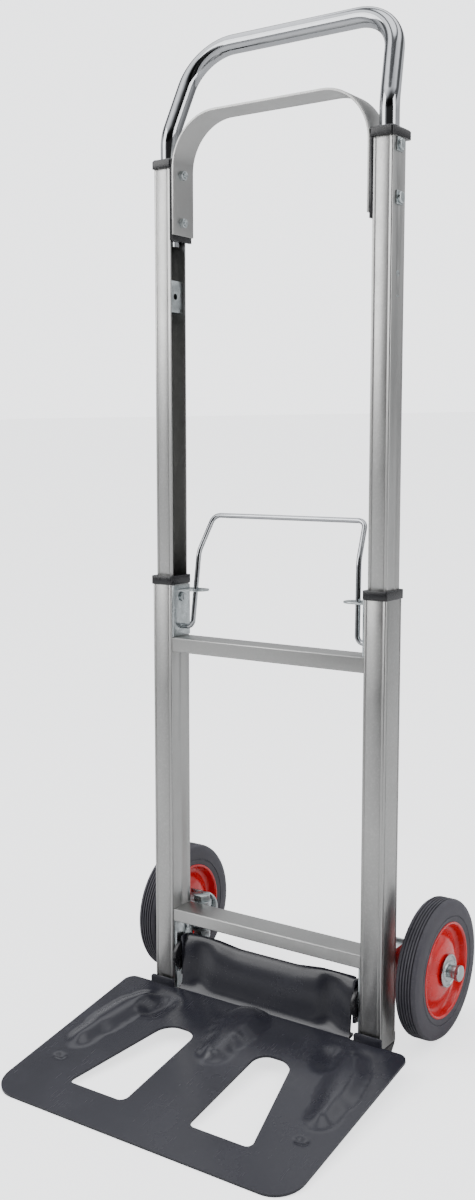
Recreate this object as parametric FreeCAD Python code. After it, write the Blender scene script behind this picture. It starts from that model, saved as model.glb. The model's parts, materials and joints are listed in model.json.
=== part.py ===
"""Folding aluminium hand truck: a telescopic mast on a ladder frame, a toe plate that folds up
and two wheels that swing in behind the frame.

Everything is drawn in the rail frame: X to the right, Y to the back, Z along the rails, with
Y = 0 on the front face of the lower rails.  stand() then leans the truck back until its tyres
and the toe plate's front edge share the floor, and puts the origin at the bottom centre of its
box.  Millimetres.
"""
import FreeCAD, Part
import math
import os

V = FreeCAD.Vector
X_AXIS = V(1, 0, 0)
Y_AXIS = V(0, 1, 0)

# ---- driving dimensions -------------------------------------------------------------------
FRAME_WIDTH = 312.0        # outer face to outer face of the lower rails
RAIL_WIDTH = 27.0          # lower rail, across X
RAIL_DEPTH = 36.0          # lower rail, along Y
RAIL_WALL = 1.5
RAIL_CORNER = 1.6
RAIL_BOTTOM = 6.0
RAIL_LENGTH = 500.0
GROOVE_WIDTH = 1.2         # extruded decorative groove
GROOVE_DEPTH = 0.4
GROOVE_INSET = 4.0

MAST_WALL = 1.6            # inward-open channel that slides in the lower rail
MAST_SIDE_GAP = 0.4        # to the lower rail's side walls
MAST_BACK_GAP = 0.3        # to the lower rail's back wall
MAST_FRONT_GAP = 3.5       # to its front wall, where the guide pad sits
MAST_OVERLAP = 86.0        # length left inside the lower rail when extended
MAST_SHORTFALL = 18.0      # how much less than the lower rail's length stands above it
PARK_GAP = 1.5             # between the caps' pads and the collars when retracted

CROSSBAR_WALL = 1.6
UPPER_BAR_DROP = 62.3      # from the lower rails' top to the upper crossbar's top
UPPER_BAR_HEIGHT = 17.4
UPPER_BAR_DEPTH = 31.0
LOWER_BAR_TOP = 110.1
LOWER_BAR_HEIGHT = 15.5
LOWER_BAR_DEPTH = 34.0
BAR_FRONT = 1.0
PLUG_LENGTH = 18.0
PLUG_CLEARANCE = 0.1
BAR_SCREW_RADIUS = 2.5
BAR_SCREW_HEAD_RADIUS = 5.0
HEAD_HEIGHT = 2.6          # of a fixing's head inside the lower rail, clear of the strike plates

COLLAR_HEIGHT = 10.5
COLLAR_OUTSET = 1.3
GUIDE_LENGTH = 50.0
FOOT_INSERT = 16.0         # length of the foot plug inside the rail
FOOT_HEEL = 2.5            # how far its heel stands behind the rail
FOOT_FLOOR_GAP = 1.5

HANDLE_DIAMETER = 21.2
HANDLE_WALL = 1.5
HANDLE_DEPTH = 91.0        # length of each leg below the mast's top
HANDLE_BEND_UP = 32.0      # from the mast's top to where the legs start to lean
HANDLE_LEAN = 21.6         # degrees, to the back
HANDLE_RISE = 103.0        # height of the grip's centre line over the bend
HANDLE_TAPER = 13.0        # how far each leg's top comes in
HANDLE_CORNER = 54.0
HANDLE_BEND_RADIUS = 50.0

STRAP_WIDTH = 38.0
STRAP_THICKNESS = 3.0
STRAP_RISE = 52.5          # its top over the mast's top
STRAP_DROP = 79.0          # its ends under the mast's top
STRAP_CORNER = 55.5
STRAP_SET_BACK = 3.4       # its middle behind the mast's middle
PAD_THICKNESS = 3.0
PAD_DROP = 85.0            # the pad's end under the mast's top
CAP_HEIGHT = 6.0
CAP_SKIRT = 4.0
CAP_WALL = 1.6
CAP_CORNER = 3.0
CAP_CHAMFER = 2.0
HANDLE_BOLT_DROPS = (65.0, 12.0)   # under the mast's top
HANDLE_BOLT_DIAMETER = 6.0
HANDLE_BOLT_HEAD = 3.4
HANDLE_BOLT_PAST_NUT = 2.0
HANDLE_WASHER_SIDE = 14.0
HANDLE_WASHER_THICKNESS = 1.2
HANDLE_NUT_FLATS = 10.0
HANDLE_NUT_HEIGHT = 5.0

LOCK_DROP = 50.0           # from the lower rails' top to the axis of the bail's ends
LOCK_Y = 18.5
BAIL_WIRE = 6.0
BAIL_SWING = 2.0           # degrees each way, free play in the guide tabs
BAIL_INSET = 17.5          # from the rail's inner face to the bail's leg
BAIL_KINK_UP = 89.0        # over the lock's axis
BAIL_KINK_INSET = 21.3
BAIL_KINK_BACK = 8.5
BAIL_TOP_UP = 131.0
BAIL_TOP_INSET = 26.6
BAIL_TOP_BACK = 32.5
BAIL_CORNERS = (8.0, 30.0, 10.0)
STRIKE_DEPTH = 5.0         # from the lower rail's inner face to the strike plate
STRIKE_THICKNESS = 2.0
STRIKE_LEG = 1.5
STRIKE_HALF_HEIGHT = 18.0
STRIKE_HOLE_PLAY = 0.5
STRIKE_RIVET_UP = 6.0
TONGUE_WIDTH = 6.0
TONGUE_CLEARANCE = 0.2

LATCH_THICKNESS = 2.0
LATCH_BAR_GAP = 0.8        # over the upper crossbar
LATCH_TOP_GAP = 1.0        # under the rail's top
LATCH_SCREW_RADIUS = 2.1
LATCH_SCREW_HEAD = 2.4
LATCH_SCREW_DROP = 9.0     # under the tab
TAB_DROP = 6.0             # from the rail's top to the tab
TAB_THICKNESS = 2.0
TAB_REACH = 36.0
TAB_WIDTH = 26.0

WHEEL_RADIUS = 80.0
TYRE_WIDTH = 28.0
TYRE_SHOULDER = 5.0
TREAD_GROOVES = 4
TREAD_GROOVE_WIDTH = 1.6
TREAD_GROOVE_DEPTH = 1.5
RIM_RADIUS = 54.6
WHEEL_GAP = 9.3            # from the rail's outer face to the tyre
AXLE_BACK = 54.0           # behind the rail's back face
AXLE_Z = 77.5
AXLE_DIAMETER = 12.7
AXLE_STAND_OUT = 16.7      # past the tyre's outer face
AXLE_TAIL = 16.0           # past the bracket's arm, towards the middle
AXLE_HEAD_DIAMETER = 18.4
AXLE_HEAD_HEIGHT = 5.0
AXLE_NUT_FLATS = 19.0
AXLE_NUT_HEIGHTS = (10.5, 8.0)     # inside and outside the arm
BUSH_WALL = 1.9
BUSH_FLANGE = 1.5
BUSH_FLANGE_STEP = 3.0
BUSH_LENGTH = 12.0
HUB_RADIUS = 17.0
WASHER_RADIUS = 18.9
INNER_WASHER_RADIUS = 12.0
WASHER_THICKNESS = 1.6
SLEEVE_WALL = 1.0

PIVOT_INSET = 7.0          # from the rail's inner face to the axis that a wheel bracket swings about
PIVOT_BACK = 14.0          # behind the rail's back face
PIVOT_DIAMETER = 12.0
PIVOT_NUT_FLATS = 19.0
PIVOT_HEAD_HEIGHT = 7.5
PIVOT_NUT_HEIGHT = 10.0
PIVOT_NUT_DOME = 4.0
PIVOT_NUT_DOME_RADIUS = 8.6
PIVOT_TAIL = 17.0
SPACER_RADIUS = 9.0
BRACKET_THICKNESS = 3.0
LUG_BOTTOM = 74.3
LUG_TOP = 105.0
LUG_RADIUS = 11.8
ARM_INSET = 9.0            # from the rail's outer face to the arm's inner face
ARM_TOP = 113.0
ARM_END_RADIUS = 18.0
RIVET_RADIUS = 2.4
RIVET_HEAD_HEIGHT = 1.8
FOLD_RIVET_INSET = 10.0    # from the rail's back face
FOLD_RIVET_ZS = (32.0, 84.0)
PLATE_LIFT = 4.0           # the fold bracket's bottom over the rail's

TOE_WIDTH = 388.0
TOE_LENGTH = 253.7         # along the plate, from the rails' front face
TOE_SLOPE = 9.8            # degrees, falling to the front
TOE_THICKNESS = 3.0
TOE_TOP_AT_RAILS = 14.0
TOE_FRONT_CORNER = 24.0
TOE_BACK_CORNER = 12.0
TOE_BACK = 4.0             # gap from the rails' front face to the plate's wings
FLANGE_FRONT = 5.0
FLANGE_TOP = 79.0
FLANGE_DIP = 4.0
FLANGE_DIP_HALF = 56.0
BRIDGE_FRONT = 40.0        # where the strip under the flange starts on the plate
EAR_INSET = 11.0           # from the rail's inner face to the ear's inner face
EAR_RADIUS = 25.0
LIP_HEIGHT = 8.5           # over the plate
LIP_GAP = 2.2              # to the rail's front face
LIP_OVERHANG = 4.0
LIP_SINK = 2.5             # how deep its foot runs into the plate
TOE_PIVOT_Y = 12.0
TOE_PIVOT_Z = 52.0
TOE_PIVOT_DIAMETER = 10.0
TOE_BOSS_RADIUS = 18.0
HOLE_FRONT = 206.0         # toe plate holes, distances along the plate
HOLE_BACK = 69.0
HOLE_INNER_X = 42.0
HOLE_OUTER_FRONT_X = 121.0
HOLE_OUTER_BACK_X = 86.0
HOLE_CORNER = 9.0

RUNNING = 0.05             # radial clearance of a shaft that turns
FACE_GAP = 0.3             # between flat faces that move past each other
PAST = 1.0                 # how far a cutting tool runs past a face

# ---- values that follow ---------------------------------------------------------------------
RAIL_OUTER_X = FRAME_WIDTH / 2
RAIL_INNER_X = RAIL_OUTER_X - RAIL_WIDTH
RAIL_TOP = RAIL_BOTTOM + RAIL_LENGTH
COLLAR_TOP = RAIL_TOP + COLLAR_HEIGHT
MAST_OUTER_X = RAIL_OUTER_X - RAIL_WALL - MAST_SIDE_GAP
MAST_INNER_X = RAIL_INNER_X + RAIL_WALL + MAST_SIDE_GAP
MAST_WEB_X = MAST_OUTER_X - MAST_WALL
MAST_BACK = RAIL_DEPTH - RAIL_WALL - MAST_BACK_GAP
MAST_FRONT = RAIL_WALL + MAST_FRONT_GAP
MAST_MID_Y = (MAST_FRONT + MAST_BACK) / 2
MAST_BOTTOM = RAIL_TOP - MAST_OVERLAP
MAST_TOP = RAIL_TOP + RAIL_LENGTH - MAST_SHORTFALL
CAP_TOP = MAST_TOP + CAP_HEIGHT
PAD_BOTTOM = MAST_TOP - PAD_DROP
MAST_STROKE = PAD_BOTTOM - COLLAR_TOP - PARK_GAP
UPPER_BAR_TOP = RAIL_TOP - UPPER_BAR_DROP
UPPER_BAR_MID = (BAR_FRONT + UPPER_BAR_DEPTH / 2, UPPER_BAR_TOP - UPPER_BAR_HEIGHT / 2)
LOWER_BAR_MID = (BAR_FRONT + LOWER_BAR_DEPTH / 2, LOWER_BAR_TOP - LOWER_BAR_HEIGHT / 2)

LOCK_Z = RAIL_TOP - LOCK_DROP
TAB_Z = RAIL_TOP - TAB_DROP
LATCH_SCREW_AT = (LOCK_Y, TAB_Z - LATCH_SCREW_DROP)
BAIL_LEG_X = RAIL_INNER_X - BAIL_INSET
BAIL_KINK_X = RAIL_INNER_X - BAIL_KINK_INSET
TAB_SHARE = (TAB_Z - LOCK_Z) / BAIL_KINK_UP
BAIL_TAB_X = BAIL_LEG_X + TAB_SHARE * (BAIL_KINK_X - BAIL_LEG_X)
BAIL_TAB_Y = LOCK_Y + TAB_SHARE * BAIL_KINK_BACK
BAIL_TIP_X = RAIL_INNER_X + STRIKE_DEPTH - FACE_GAP
SLOT_PLAY = (TAB_Z - LOCK_Z) * math.tan(math.radians(BAIL_SWING)) + 2 * FACE_GAP
STRIKE_ZS = (LOCK_Z, LOCK_Z + MAST_STROKE)

HANDLE_X = MAST_WEB_X - HANDLE_DIAMETER / 2 - RUNNING
HANDLE_TOP_X = HANDLE_X - HANDLE_TAPER
HANDLE_BEND_Z = MAST_TOP + HANDLE_BEND_UP
HANDLE_BACK_Y = MAST_MID_Y + HANDLE_RISE * math.tan(math.radians(HANDLE_LEAN))
HANDLE_BOLT_ZS = tuple(MAST_TOP - drop for drop in HANDLE_BOLT_DROPS)
STRAP_OUTER_X = MAST_INNER_X - PAD_THICKNESS
STRAP_INNER_X = STRAP_OUTER_X - STRAP_THICKNESS
STRAP_MID_Y = MAST_MID_Y + STRAP_SET_BACK
STRAP_TOP = MAST_TOP + STRAP_RISE

WHEEL_INNER_X = RAIL_OUTER_X + WHEEL_GAP
WHEEL_OUTER_X = WHEEL_INNER_X + TYRE_WIDTH
AXLE_Y = RAIL_DEPTH + AXLE_BACK
AXLE_END_X = WHEEL_OUTER_X + AXLE_STAND_OUT
PIVOT_X = RAIL_INNER_X - PIVOT_INSET
PIVOT_Y = RAIL_DEPTH + PIVOT_BACK
ARM_X = RAIL_OUTER_X - ARM_INSET
ARM_OUT_X = ARM_X + BRACKET_THICKNESS
AXLE_INNER_X = ARM_X - AXLE_TAIL
PLATE_X = RAIL_INNER_X - BRACKET_THICKNESS
SWING_LOW = LUG_BOTTOM - FACE_GAP - BRACKET_THICKNESS
SWING_HIGH = LUG_TOP + FACE_GAP + BRACKET_THICKNESS
FOLD_RIVETS = tuple((RAIL_DEPTH - FOLD_RIVET_INSET, z) for z in FOLD_RIVET_ZS)
WALL_FIXINGS = ((LATCH_SCREW_AT, LATCH_SCREW_RADIUS), (UPPER_BAR_MID, BAR_SCREW_RADIUS),
                (LOWER_BAR_MID, BAR_SCREW_RADIUS), (FOLD_RIVETS[0], RIVET_RADIUS),
                (FOLD_RIVETS[1], RIVET_RADIUS))

HUB_IN_X = WHEEL_INNER_X - 1.0
HUB_OUT_X = WHEEL_OUTER_X - 0.6
BUSH_RADIUS = AXLE_DIAMETER / 2 + RUNNING + BUSH_WALL
BUSH_IN_X = HUB_IN_X - BUSH_FLANGE
BUSH_OUT_X = HUB_OUT_X + BUSH_FLANGE
RIM_IN_X = WHEEL_INNER_X + 2.4
RIM_OUT_X = WHEEL_OUTER_X - 1.0

EAR_X = RAIL_INNER_X - EAR_INSET
EAR_OUT_X = EAR_X + TOE_THICKNESS
FLANGE_BACK = FLANGE_FRONT + TOE_THICKNESS
SLOPE = math.radians(TOE_SLOPE)
TOE_FRONT_Y = -TOE_LENGTH * math.cos(SLOPE) + TOE_THICKNESS * math.sin(SLOPE)
TOE_FRONT_Z = TOE_TOP_AT_RAILS - TOE_LENGTH * math.sin(SLOPE) - TOE_THICKNESS * math.cos(SLOPE)
REACH = math.hypot(AXLE_Y - TOE_FRONT_Y, AXLE_Z - TOE_FRONT_Z)
LEAN = math.atan2(AXLE_Z - TOE_FRONT_Z, AXLE_Y - TOE_FRONT_Y) - math.asin(WHEEL_RADIUS / REACH)


def stood(y, z):
    """Where a point of the rail frame lies once the truck leans on its wheels, before centring."""
    return y * math.cos(LEAN) + z * math.sin(LEAN), z * math.cos(LEAN) - y * math.sin(LEAN)


FRONT_Y, FLOOR_Z = stood(TOE_FRONT_Y, TOE_FRONT_Z)
BACK_Y = stood(AXLE_Y, AXLE_Z)[0] + WHEEL_RADIUS
CENTRE_Y = (FRONT_Y + BACK_Y) / 2
FLOOR_UNDER_FOOT = (FLOOR_Z + RAIL_DEPTH * math.sin(LEAN)) / math.cos(LEAN)
FOOT_BOTTOM = FLOOR_UNDER_FOOT + FOOT_FLOOR_GAP


# ---- helpers --------------------------------------------------------------------------------
def stand(shape):
    """Lean a finished piece back onto the floor and centre it."""
    placed = shape.copy()
    placed.rotate(V(0, 0, 0), X_AXIS, -math.degrees(LEAN))
    placed.translate(V(0, -CENTRE_Y, -FLOOR_Z))
    return placed


def save(name, *shapes):
    """Write one node: a single solid, or several separate ones."""
    whole = shapes[0] if len(shapes) == 1 else Part.makeCompound(list(shapes))
    stand(whole).exportStep("parts/" + name + ".step")


def mirrored(shape):
    """The left-hand twin of a right-hand piece."""
    return shape.mirror(V(0, 0, 0), X_AXIS)


def save_pair(name, shape):
    """A right-hand piece and its twin, as two nodes."""
    save(name + "_right", shape)
    save(name + "_left", mirrored(shape))


def save_both(name, *shapes):
    """Right-hand pieces and their twins, all in one node."""
    save(name, *(list(shapes) + [mirrored(shape) for shape in shapes]))


def block(x0, x1, y0, y1, z0, z1):
    return Part.makeBox(x1 - x0, y1 - y0, z1 - z0, V(x0, y0, z0))


def rod(radius, start, end):
    """A cylinder from one point to another."""
    return Part.makeCylinder(radius, (end - start).Length, start, end - start)


def ring(outer, inner, start, end):
    """A tube from one point to another."""
    return rod(outer, start, end).cut(rod(inner, start, end))


def hexagon(flats, start, end):
    """A hexagonal prism from one point to another."""
    along = end - start
    across = X_AXIS if abs(along.z) > abs(along.x) else Y_AXIS
    radius = flats / math.sqrt(3)
    side = along.cross(across)
    side.normalize()
    corners = []
    for step in range(7):
        turn = math.radians(60 * step)
        corners.append(start + across * (radius * math.cos(turn)) + side * (radius * math.sin(turn)))
    return Part.Face(Part.makePolygon(corners)).extrude(along)


def prism_x(points, x0, x1):
    """A (y, z) outline pushed along X."""
    corners = [V(x0, y, z) for y, z in points]
    corners.append(corners[0])
    return Part.Face(Part.makePolygon(corners)).extrude(V(x1 - x0, 0, 0))


def vertical_edges(shape, keep=None):
    """The shape's edges that run along Z, or those of them that pass the test."""
    chosen = []
    for edge in shape.Edges:
        along = edge.valueAt(edge.LastParameter) - edge.valueAt(edge.FirstParameter)
        if abs(along.x) < 1e-6 and abs(along.y) < 1e-6 and (keep is None or keep(edge)):
            chosen.append(edge)
    return chosen


def rounded_path(points, radii):
    """Straight runs through the points, joined by tangent arcs; the radii belong to the inner points."""
    edges = []
    start = points[0]
    for index in range(1, len(points) - 1):
        corner = points[index]
        back = points[index - 1] - corner
        ahead = points[index + 1] - corner
        back.normalize()
        ahead.normalize()
        half = back.getAngle(ahead) / 2
        cut = radii[index - 1] / math.tan(half)
        middle = back + ahead
        middle.normalize()
        enter = corner + back * cut
        leave = corner + ahead * cut
        centre = corner + middle * (radii[index - 1] / math.sin(half))
        top = centre - middle * radii[index - 1]
        edges.append(Part.LineSegment(start, enter).toShape())
        edges.append(Part.Arc(enter, top, leave).toShape())
        start = leave
    edges.append(Part.LineSegment(start, points[-1]).toShape())
    return Part.Wire(edges)


def bent_rod(points, radii, radius):
    """A round bar that follows a rounded path."""
    path = rounded_path(points, radii)
    section = Part.Wire(Part.makeCircle(radius, points[0], points[1] - points[0]))
    return path.makePipeShell([section], True, False)


def turned(profile, centre_y, centre_z):
    """A closed (x, radius) outline revolved about the wheel's axis."""
    corners = [V(x, centre_y, centre_z + radius) for x, radius in profile]
    corners.append(corners[0])
    face = Part.Face(Part.makePolygon(corners))
    return face.revolve(V(0, centre_y, centre_z), X_AXIS, 360)


# ---- frame ----------------------------------------------------------------------------------
def lower_rail():
    """Rectangular extrusion with soft corners and two fine grooves in each wide face."""
    outer = block(RAIL_INNER_X, RAIL_OUTER_X, 0, RAIL_DEPTH, RAIL_BOTTOM, RAIL_TOP)
    outer = outer.makeFillet(RAIL_CORNER, vertical_edges(outer))
    rail = outer.cut(block(RAIL_INNER_X + RAIL_WALL, RAIL_OUTER_X - RAIL_WALL,
                           RAIL_WALL, RAIL_DEPTH - RAIL_WALL, RAIL_BOTTOM, RAIL_TOP))
    for x in (RAIL_INNER_X + GROOVE_INSET, RAIL_OUTER_X - GROOVE_INSET):
        rail = rail.cut(block(x - GROOVE_WIDTH / 2, x + GROOVE_WIDTH / 2,
                              0, GROOVE_DEPTH, RAIL_BOTTOM, RAIL_TOP))
    for y in (GROOVE_INSET, RAIL_DEPTH - GROOVE_INSET):
        rail = rail.cut(block(RAIL_OUTER_X - GROOVE_DEPTH, RAIL_OUTER_X,
                              y - GROOVE_WIDTH / 2, y + GROOVE_WIDTH / 2, RAIL_BOTTOM, RAIL_TOP))
    lock_hole = rod(BAIL_WIRE / 2 + RUNNING, V(RAIL_INNER_X - PAST, LOCK_Y, LOCK_Z),
                    V(RAIL_INNER_X + RAIL_WALL + PAST, LOCK_Y, LOCK_Z))
    rail = rail.cut(lock_hole)
    for place, radius in WALL_FIXINGS:
        rail = rail.cut(rod(radius, V(RAIL_INNER_X - PAST, *place),
                            V(RAIL_INNER_X + RAIL_WALL + PAST, *place)))
    return rail


def wall_fixing(y, z, radius, head_radius, inward_end):
    """A screw or rivet through the lower rail's inner wall, its head inside the rail."""
    head_face = RAIL_INNER_X + RAIL_WALL
    shank = rod(radius, V(inward_end, y, z), V(head_face, y, z))
    head = rod(head_radius, V(head_face, y, z), V(head_face + HEAD_HEIGHT, y, z))
    return shank.fuse(head).removeSplitter()


def crossbar(top, height, depth):
    """Box-section bar between the lower rails' inner faces."""
    bar = block(-RAIL_INNER_X, RAIL_INNER_X, BAR_FRONT, BAR_FRONT + depth, top - height, top)
    long_edges = [edge for edge in bar.Edges if edge.Length > RAIL_INNER_X]
    bar = bar.makeFillet(RAIL_CORNER, long_edges)
    return bar.cut(block(-RAIL_INNER_X, RAIL_INNER_X, BAR_FRONT + CROSSBAR_WALL,
                         BAR_FRONT + depth - CROSSBAR_WALL,
                         top - height + CROSSBAR_WALL, top - CROSSBAR_WALL))


def crossbar_plug(top, height, depth):
    """Insert in a crossbar's end that takes the screw from inside the rail."""
    inset = CROSSBAR_WALL + PLUG_CLEARANCE
    plug = block(RAIL_INNER_X - PLUG_LENGTH, RAIL_INNER_X, BAR_FRONT + inset,
                 BAR_FRONT + depth - inset, top - height + inset, top - inset)
    middle = (BAR_FRONT + depth / 2, top - height / 2)
    return plug.cut(rod(BAR_SCREW_RADIUS, V(RAIL_INNER_X - PLUG_LENGTH, *middle),
                        V(RAIL_INNER_X, *middle)))


def collar():
    """Black sleeve on top of the lower rail; the mast slides through it."""
    grow = COLLAR_OUTSET
    sleeve = block(RAIL_INNER_X - grow, RAIL_OUTER_X + grow, -grow, RAIL_DEPTH + grow,
                   RAIL_TOP, COLLAR_TOP)
    sleeve = sleeve.makeFillet(RAIL_CORNER, vertical_edges(sleeve))
    return sleeve.cut(block(MAST_INNER_X - FACE_GAP, MAST_OUTER_X + FACE_GAP,
                            MAST_FRONT - FACE_GAP, MAST_BACK + FACE_GAP,
                            RAIL_TOP, COLLAR_TOP))


def guide_pad():
    """Nylon strip between the lower rail's front wall and the mast."""
    return block(RAIL_INNER_X + RAIL_WALL, RAIL_OUTER_X - RAIL_WALL, RAIL_WALL,
                 MAST_FRONT - FACE_GAP, RAIL_TOP - GUIDE_LENGTH, RAIL_TOP)


def latch_bracket():
    """Zinc plate on the lower rail's inner face, with the slotted tab that guides the bail."""
    inner = RAIL_INNER_X - LATCH_THICKNESS
    plate = block(inner, RAIL_INNER_X, RAIL_WALL, RAIL_DEPTH - RAIL_WALL,
                  UPPER_BAR_TOP + LATCH_BAR_GAP, RAIL_TOP - LATCH_TOP_GAP)
    tip = TAB_WIDTH / 2
    tip_x = RAIL_INNER_X - TAB_REACH + tip
    low = TAB_Z - TAB_THICKNESS / 2
    high = TAB_Z + TAB_THICKNESS / 2
    tab = block(tip_x, inner, BAIL_TAB_Y - tip, BAIL_TAB_Y + tip, low, high)
    tab = tab.fuse(rod(tip, V(tip_x, BAIL_TAB_Y, low), V(tip_x, BAIL_TAB_Y, high)))
    slot_half = BAIL_WIRE / 2 + SLOT_PLAY
    slot_end = RAIL_INNER_X - TAB_REACH + 2 * slot_half
    slot = block(slot_end, BAIL_TAB_X + BAIL_WIRE, BAIL_TAB_Y - slot_half, BAIL_TAB_Y + slot_half,
                 low - PAST, high + PAST)
    slot = slot.fuse(rod(slot_half, V(slot_end, BAIL_TAB_Y, low - PAST),
                         V(slot_end, BAIL_TAB_Y, high + PAST)))
    bracket = plate.fuse(tab.cut(slot)).removeSplitter()
    for place, radius in (((LOCK_Y, LOCK_Z), BAIL_WIRE / 2 + RUNNING),
                          (LATCH_SCREW_AT, LATCH_SCREW_RADIUS)):
        bracket = bracket.cut(rod(radius, V(inner - PAST, *place), V(RAIL_INNER_X + PAST, *place)))
    return bracket


def latch_screw():
    """Pan-head screw that holds the latch bracket."""
    face = RAIL_INNER_X - LATCH_THICKNESS
    y, z = LATCH_SCREW_AT
    top = face - LATCH_SCREW_HEAD
    head = rod(2.5 * LATCH_SCREW_RADIUS, V(top, y, z), V(face, y, z))
    slot = block(top, top + 1.4, y - 0.5, y + 0.5, z - 3.0, z + 3.0)
    return head.cut(slot).fuse(wall_fixing(y, z, LATCH_SCREW_RADIUS, 3.6, face))


def foot_plug():
    """Black end plug with a heel that wraps the rail's bottom back corner."""
    inset = RAIL_WALL + PLUG_CLEARANCE
    insert = block(RAIL_INNER_X + inset, RAIL_OUTER_X - inset, inset, RAIL_DEPTH - inset,
                   RAIL_BOTTOM, RAIL_BOTTOM + FOOT_INSERT)
    heel_back = RAIL_DEPTH + FOOT_HEEL
    sole = prism_x(((0.5, RAIL_BOTTOM), (0.5, RAIL_BOTTOM - 3.0), (14.0, FOOT_BOTTOM),
                    (RAIL_DEPTH - 6.0, FOOT_BOTTOM), (heel_back - 2.0, RAIL_BOTTOM - 5.0),
                    (heel_back, RAIL_BOTTOM), (heel_back, RAIL_BOTTOM + 9.0),
                    (RAIL_DEPTH, RAIL_BOTTOM + 9.0), (RAIL_DEPTH, RAIL_BOTTOM)),
                   RAIL_INNER_X + 1.0, RAIL_OUTER_X - 1.0)
    return insert.fuse(sole).removeSplitter()


# ---- release bail ---------------------------------------------------------------------------
def release_bail():
    """One spring wire: an outward pin in each rail, two guided legs and a hand bar."""
    kink = V(BAIL_KINK_X, LOCK_Y + BAIL_KINK_BACK, LOCK_Z + BAIL_KINK_UP)
    top = V(RAIL_INNER_X - BAIL_TOP_INSET, LOCK_Y + BAIL_TOP_BACK, LOCK_Z + BAIL_TOP_UP)
    half = [V(BAIL_TIP_X, LOCK_Y, LOCK_Z), V(BAIL_LEG_X, LOCK_Y, LOCK_Z), kink, top]
    other = [V(-point.x, point.y, point.z) for point in reversed(half)]
    return bent_rod(half + other, BAIL_CORNERS + BAIL_CORNERS[::-1], BAIL_WIRE / 2)


# ---- mast -----------------------------------------------------------------------------------
def mast_rail():
    """Channel open to the inside, so that it passes the fixings in the lower rail."""
    outer = block(MAST_INNER_X, MAST_OUTER_X, MAST_FRONT, MAST_BACK, MAST_BOTTOM, MAST_TOP)
    outer_edges = vertical_edges(outer, lambda edge: edge.valueAt(0).x > MAST_INNER_X + 1)
    rail = outer.makeFillet(RAIL_CORNER, outer_edges)
    rail = rail.cut(block(MAST_INNER_X, MAST_WEB_X, MAST_FRONT + MAST_WALL,
                          MAST_BACK - MAST_WALL, MAST_BOTTOM, MAST_TOP))
    for x in (MAST_INNER_X + GROOVE_INSET, MAST_OUTER_X - GROOVE_INSET):
        rail = rail.cut(block(x - GROOVE_WIDTH / 2, x + GROOVE_WIDTH / 2, MAST_FRONT,
                              MAST_FRONT + GROOVE_DEPTH, MAST_BOTTOM, MAST_TOP))
    holes = [(HANDLE_BOLT_DIAMETER / 2, z) for z in HANDLE_BOLT_ZS]
    holes += [(RIVET_RADIUS, z + STRIKE_RIVET_UP) for z in STRIKE_ZS]
    for radius, z in holes:
        rail = rail.cut(rod(radius, V(MAST_WEB_X - PAST, MAST_MID_Y, z),
                            V(MAST_OUTER_X + PAST, MAST_MID_Y, z)))
    for z in STRIKE_ZS:
        rail = rail.cut(tongue(z, TONGUE_CLEARANCE))
    return rail


def tongue(z, grow):
    """The strike's tongue, or the slot for it in the mast's web when grown."""
    half = TONGUE_WIDTH / 2 + grow
    low = z - STRIKE_HALF_HEIGHT
    return block(MAST_WEB_X - grow, MAST_OUTER_X + MAST_SIDE_GAP / 3 + grow, MAST_MID_Y - half,
                 MAST_MID_Y + half, low - grow, low + STRIKE_LEG + grow)


def strike(z):
    """Pressed hat inside the mast, with the hole that the bail's end drops into."""
    near = RAIL_INNER_X + STRIKE_DEPTH
    y0 = MAST_FRONT + MAST_WALL + 1.0
    y1 = MAST_BACK - MAST_WALL - 1.0
    low = z - STRIKE_HALF_HEIGHT
    high = z + STRIKE_HALF_HEIGHT
    rivet_z = z + STRIKE_RIVET_UP
    hat = block(near, near + STRIKE_THICKNESS, y0, y1, low, high)
    hat = hat.fuse([block(near, MAST_WEB_X, y0, y1, low, low + STRIKE_LEG),
                    block(near, MAST_WEB_X, y0, y1, high - STRIKE_LEG, high),
                    block(MAST_WEB_X - STRIKE_LEG, MAST_WEB_X, y0, y1, z, high),
                    tongue(z, 0)]).removeSplitter()
    hat = hat.cut(rod(BAIL_WIRE / 2 + STRIKE_HOLE_PLAY, V(near - PAST, LOCK_Y, z),
                      V(near + STRIKE_THICKNESS + PAST, LOCK_Y, z)))
    return hat.cut(rod(RIVET_RADIUS, V(MAST_WEB_X - STRIKE_LEG - PAST / 2, MAST_MID_Y, rivet_z),
                       V(MAST_WEB_X + PAST, MAST_MID_Y, rivet_z)))


def strike_rivet(z):
    """Pop rivet through the mast's web and the strike's foot."""
    up = z + STRIKE_RIVET_UP
    foot = MAST_WEB_X - STRIKE_LEG
    body = rod(RIVET_RADIUS, V(foot, MAST_MID_Y, up), V(MAST_OUTER_X, MAST_MID_Y, up))
    tail = rod(RIVET_RADIUS + 1.2, V(foot - 2.5, MAST_MID_Y, up), V(foot, MAST_MID_Y, up))
    head_end = MAST_OUTER_X + MAST_SIDE_GAP / 3
    head = rod(RIVET_RADIUS + 1.0, V(MAST_OUTER_X, MAST_MID_Y, up), V(head_end, MAST_MID_Y, up))
    return body.fuse([tail, head]).removeSplitter()


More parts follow.
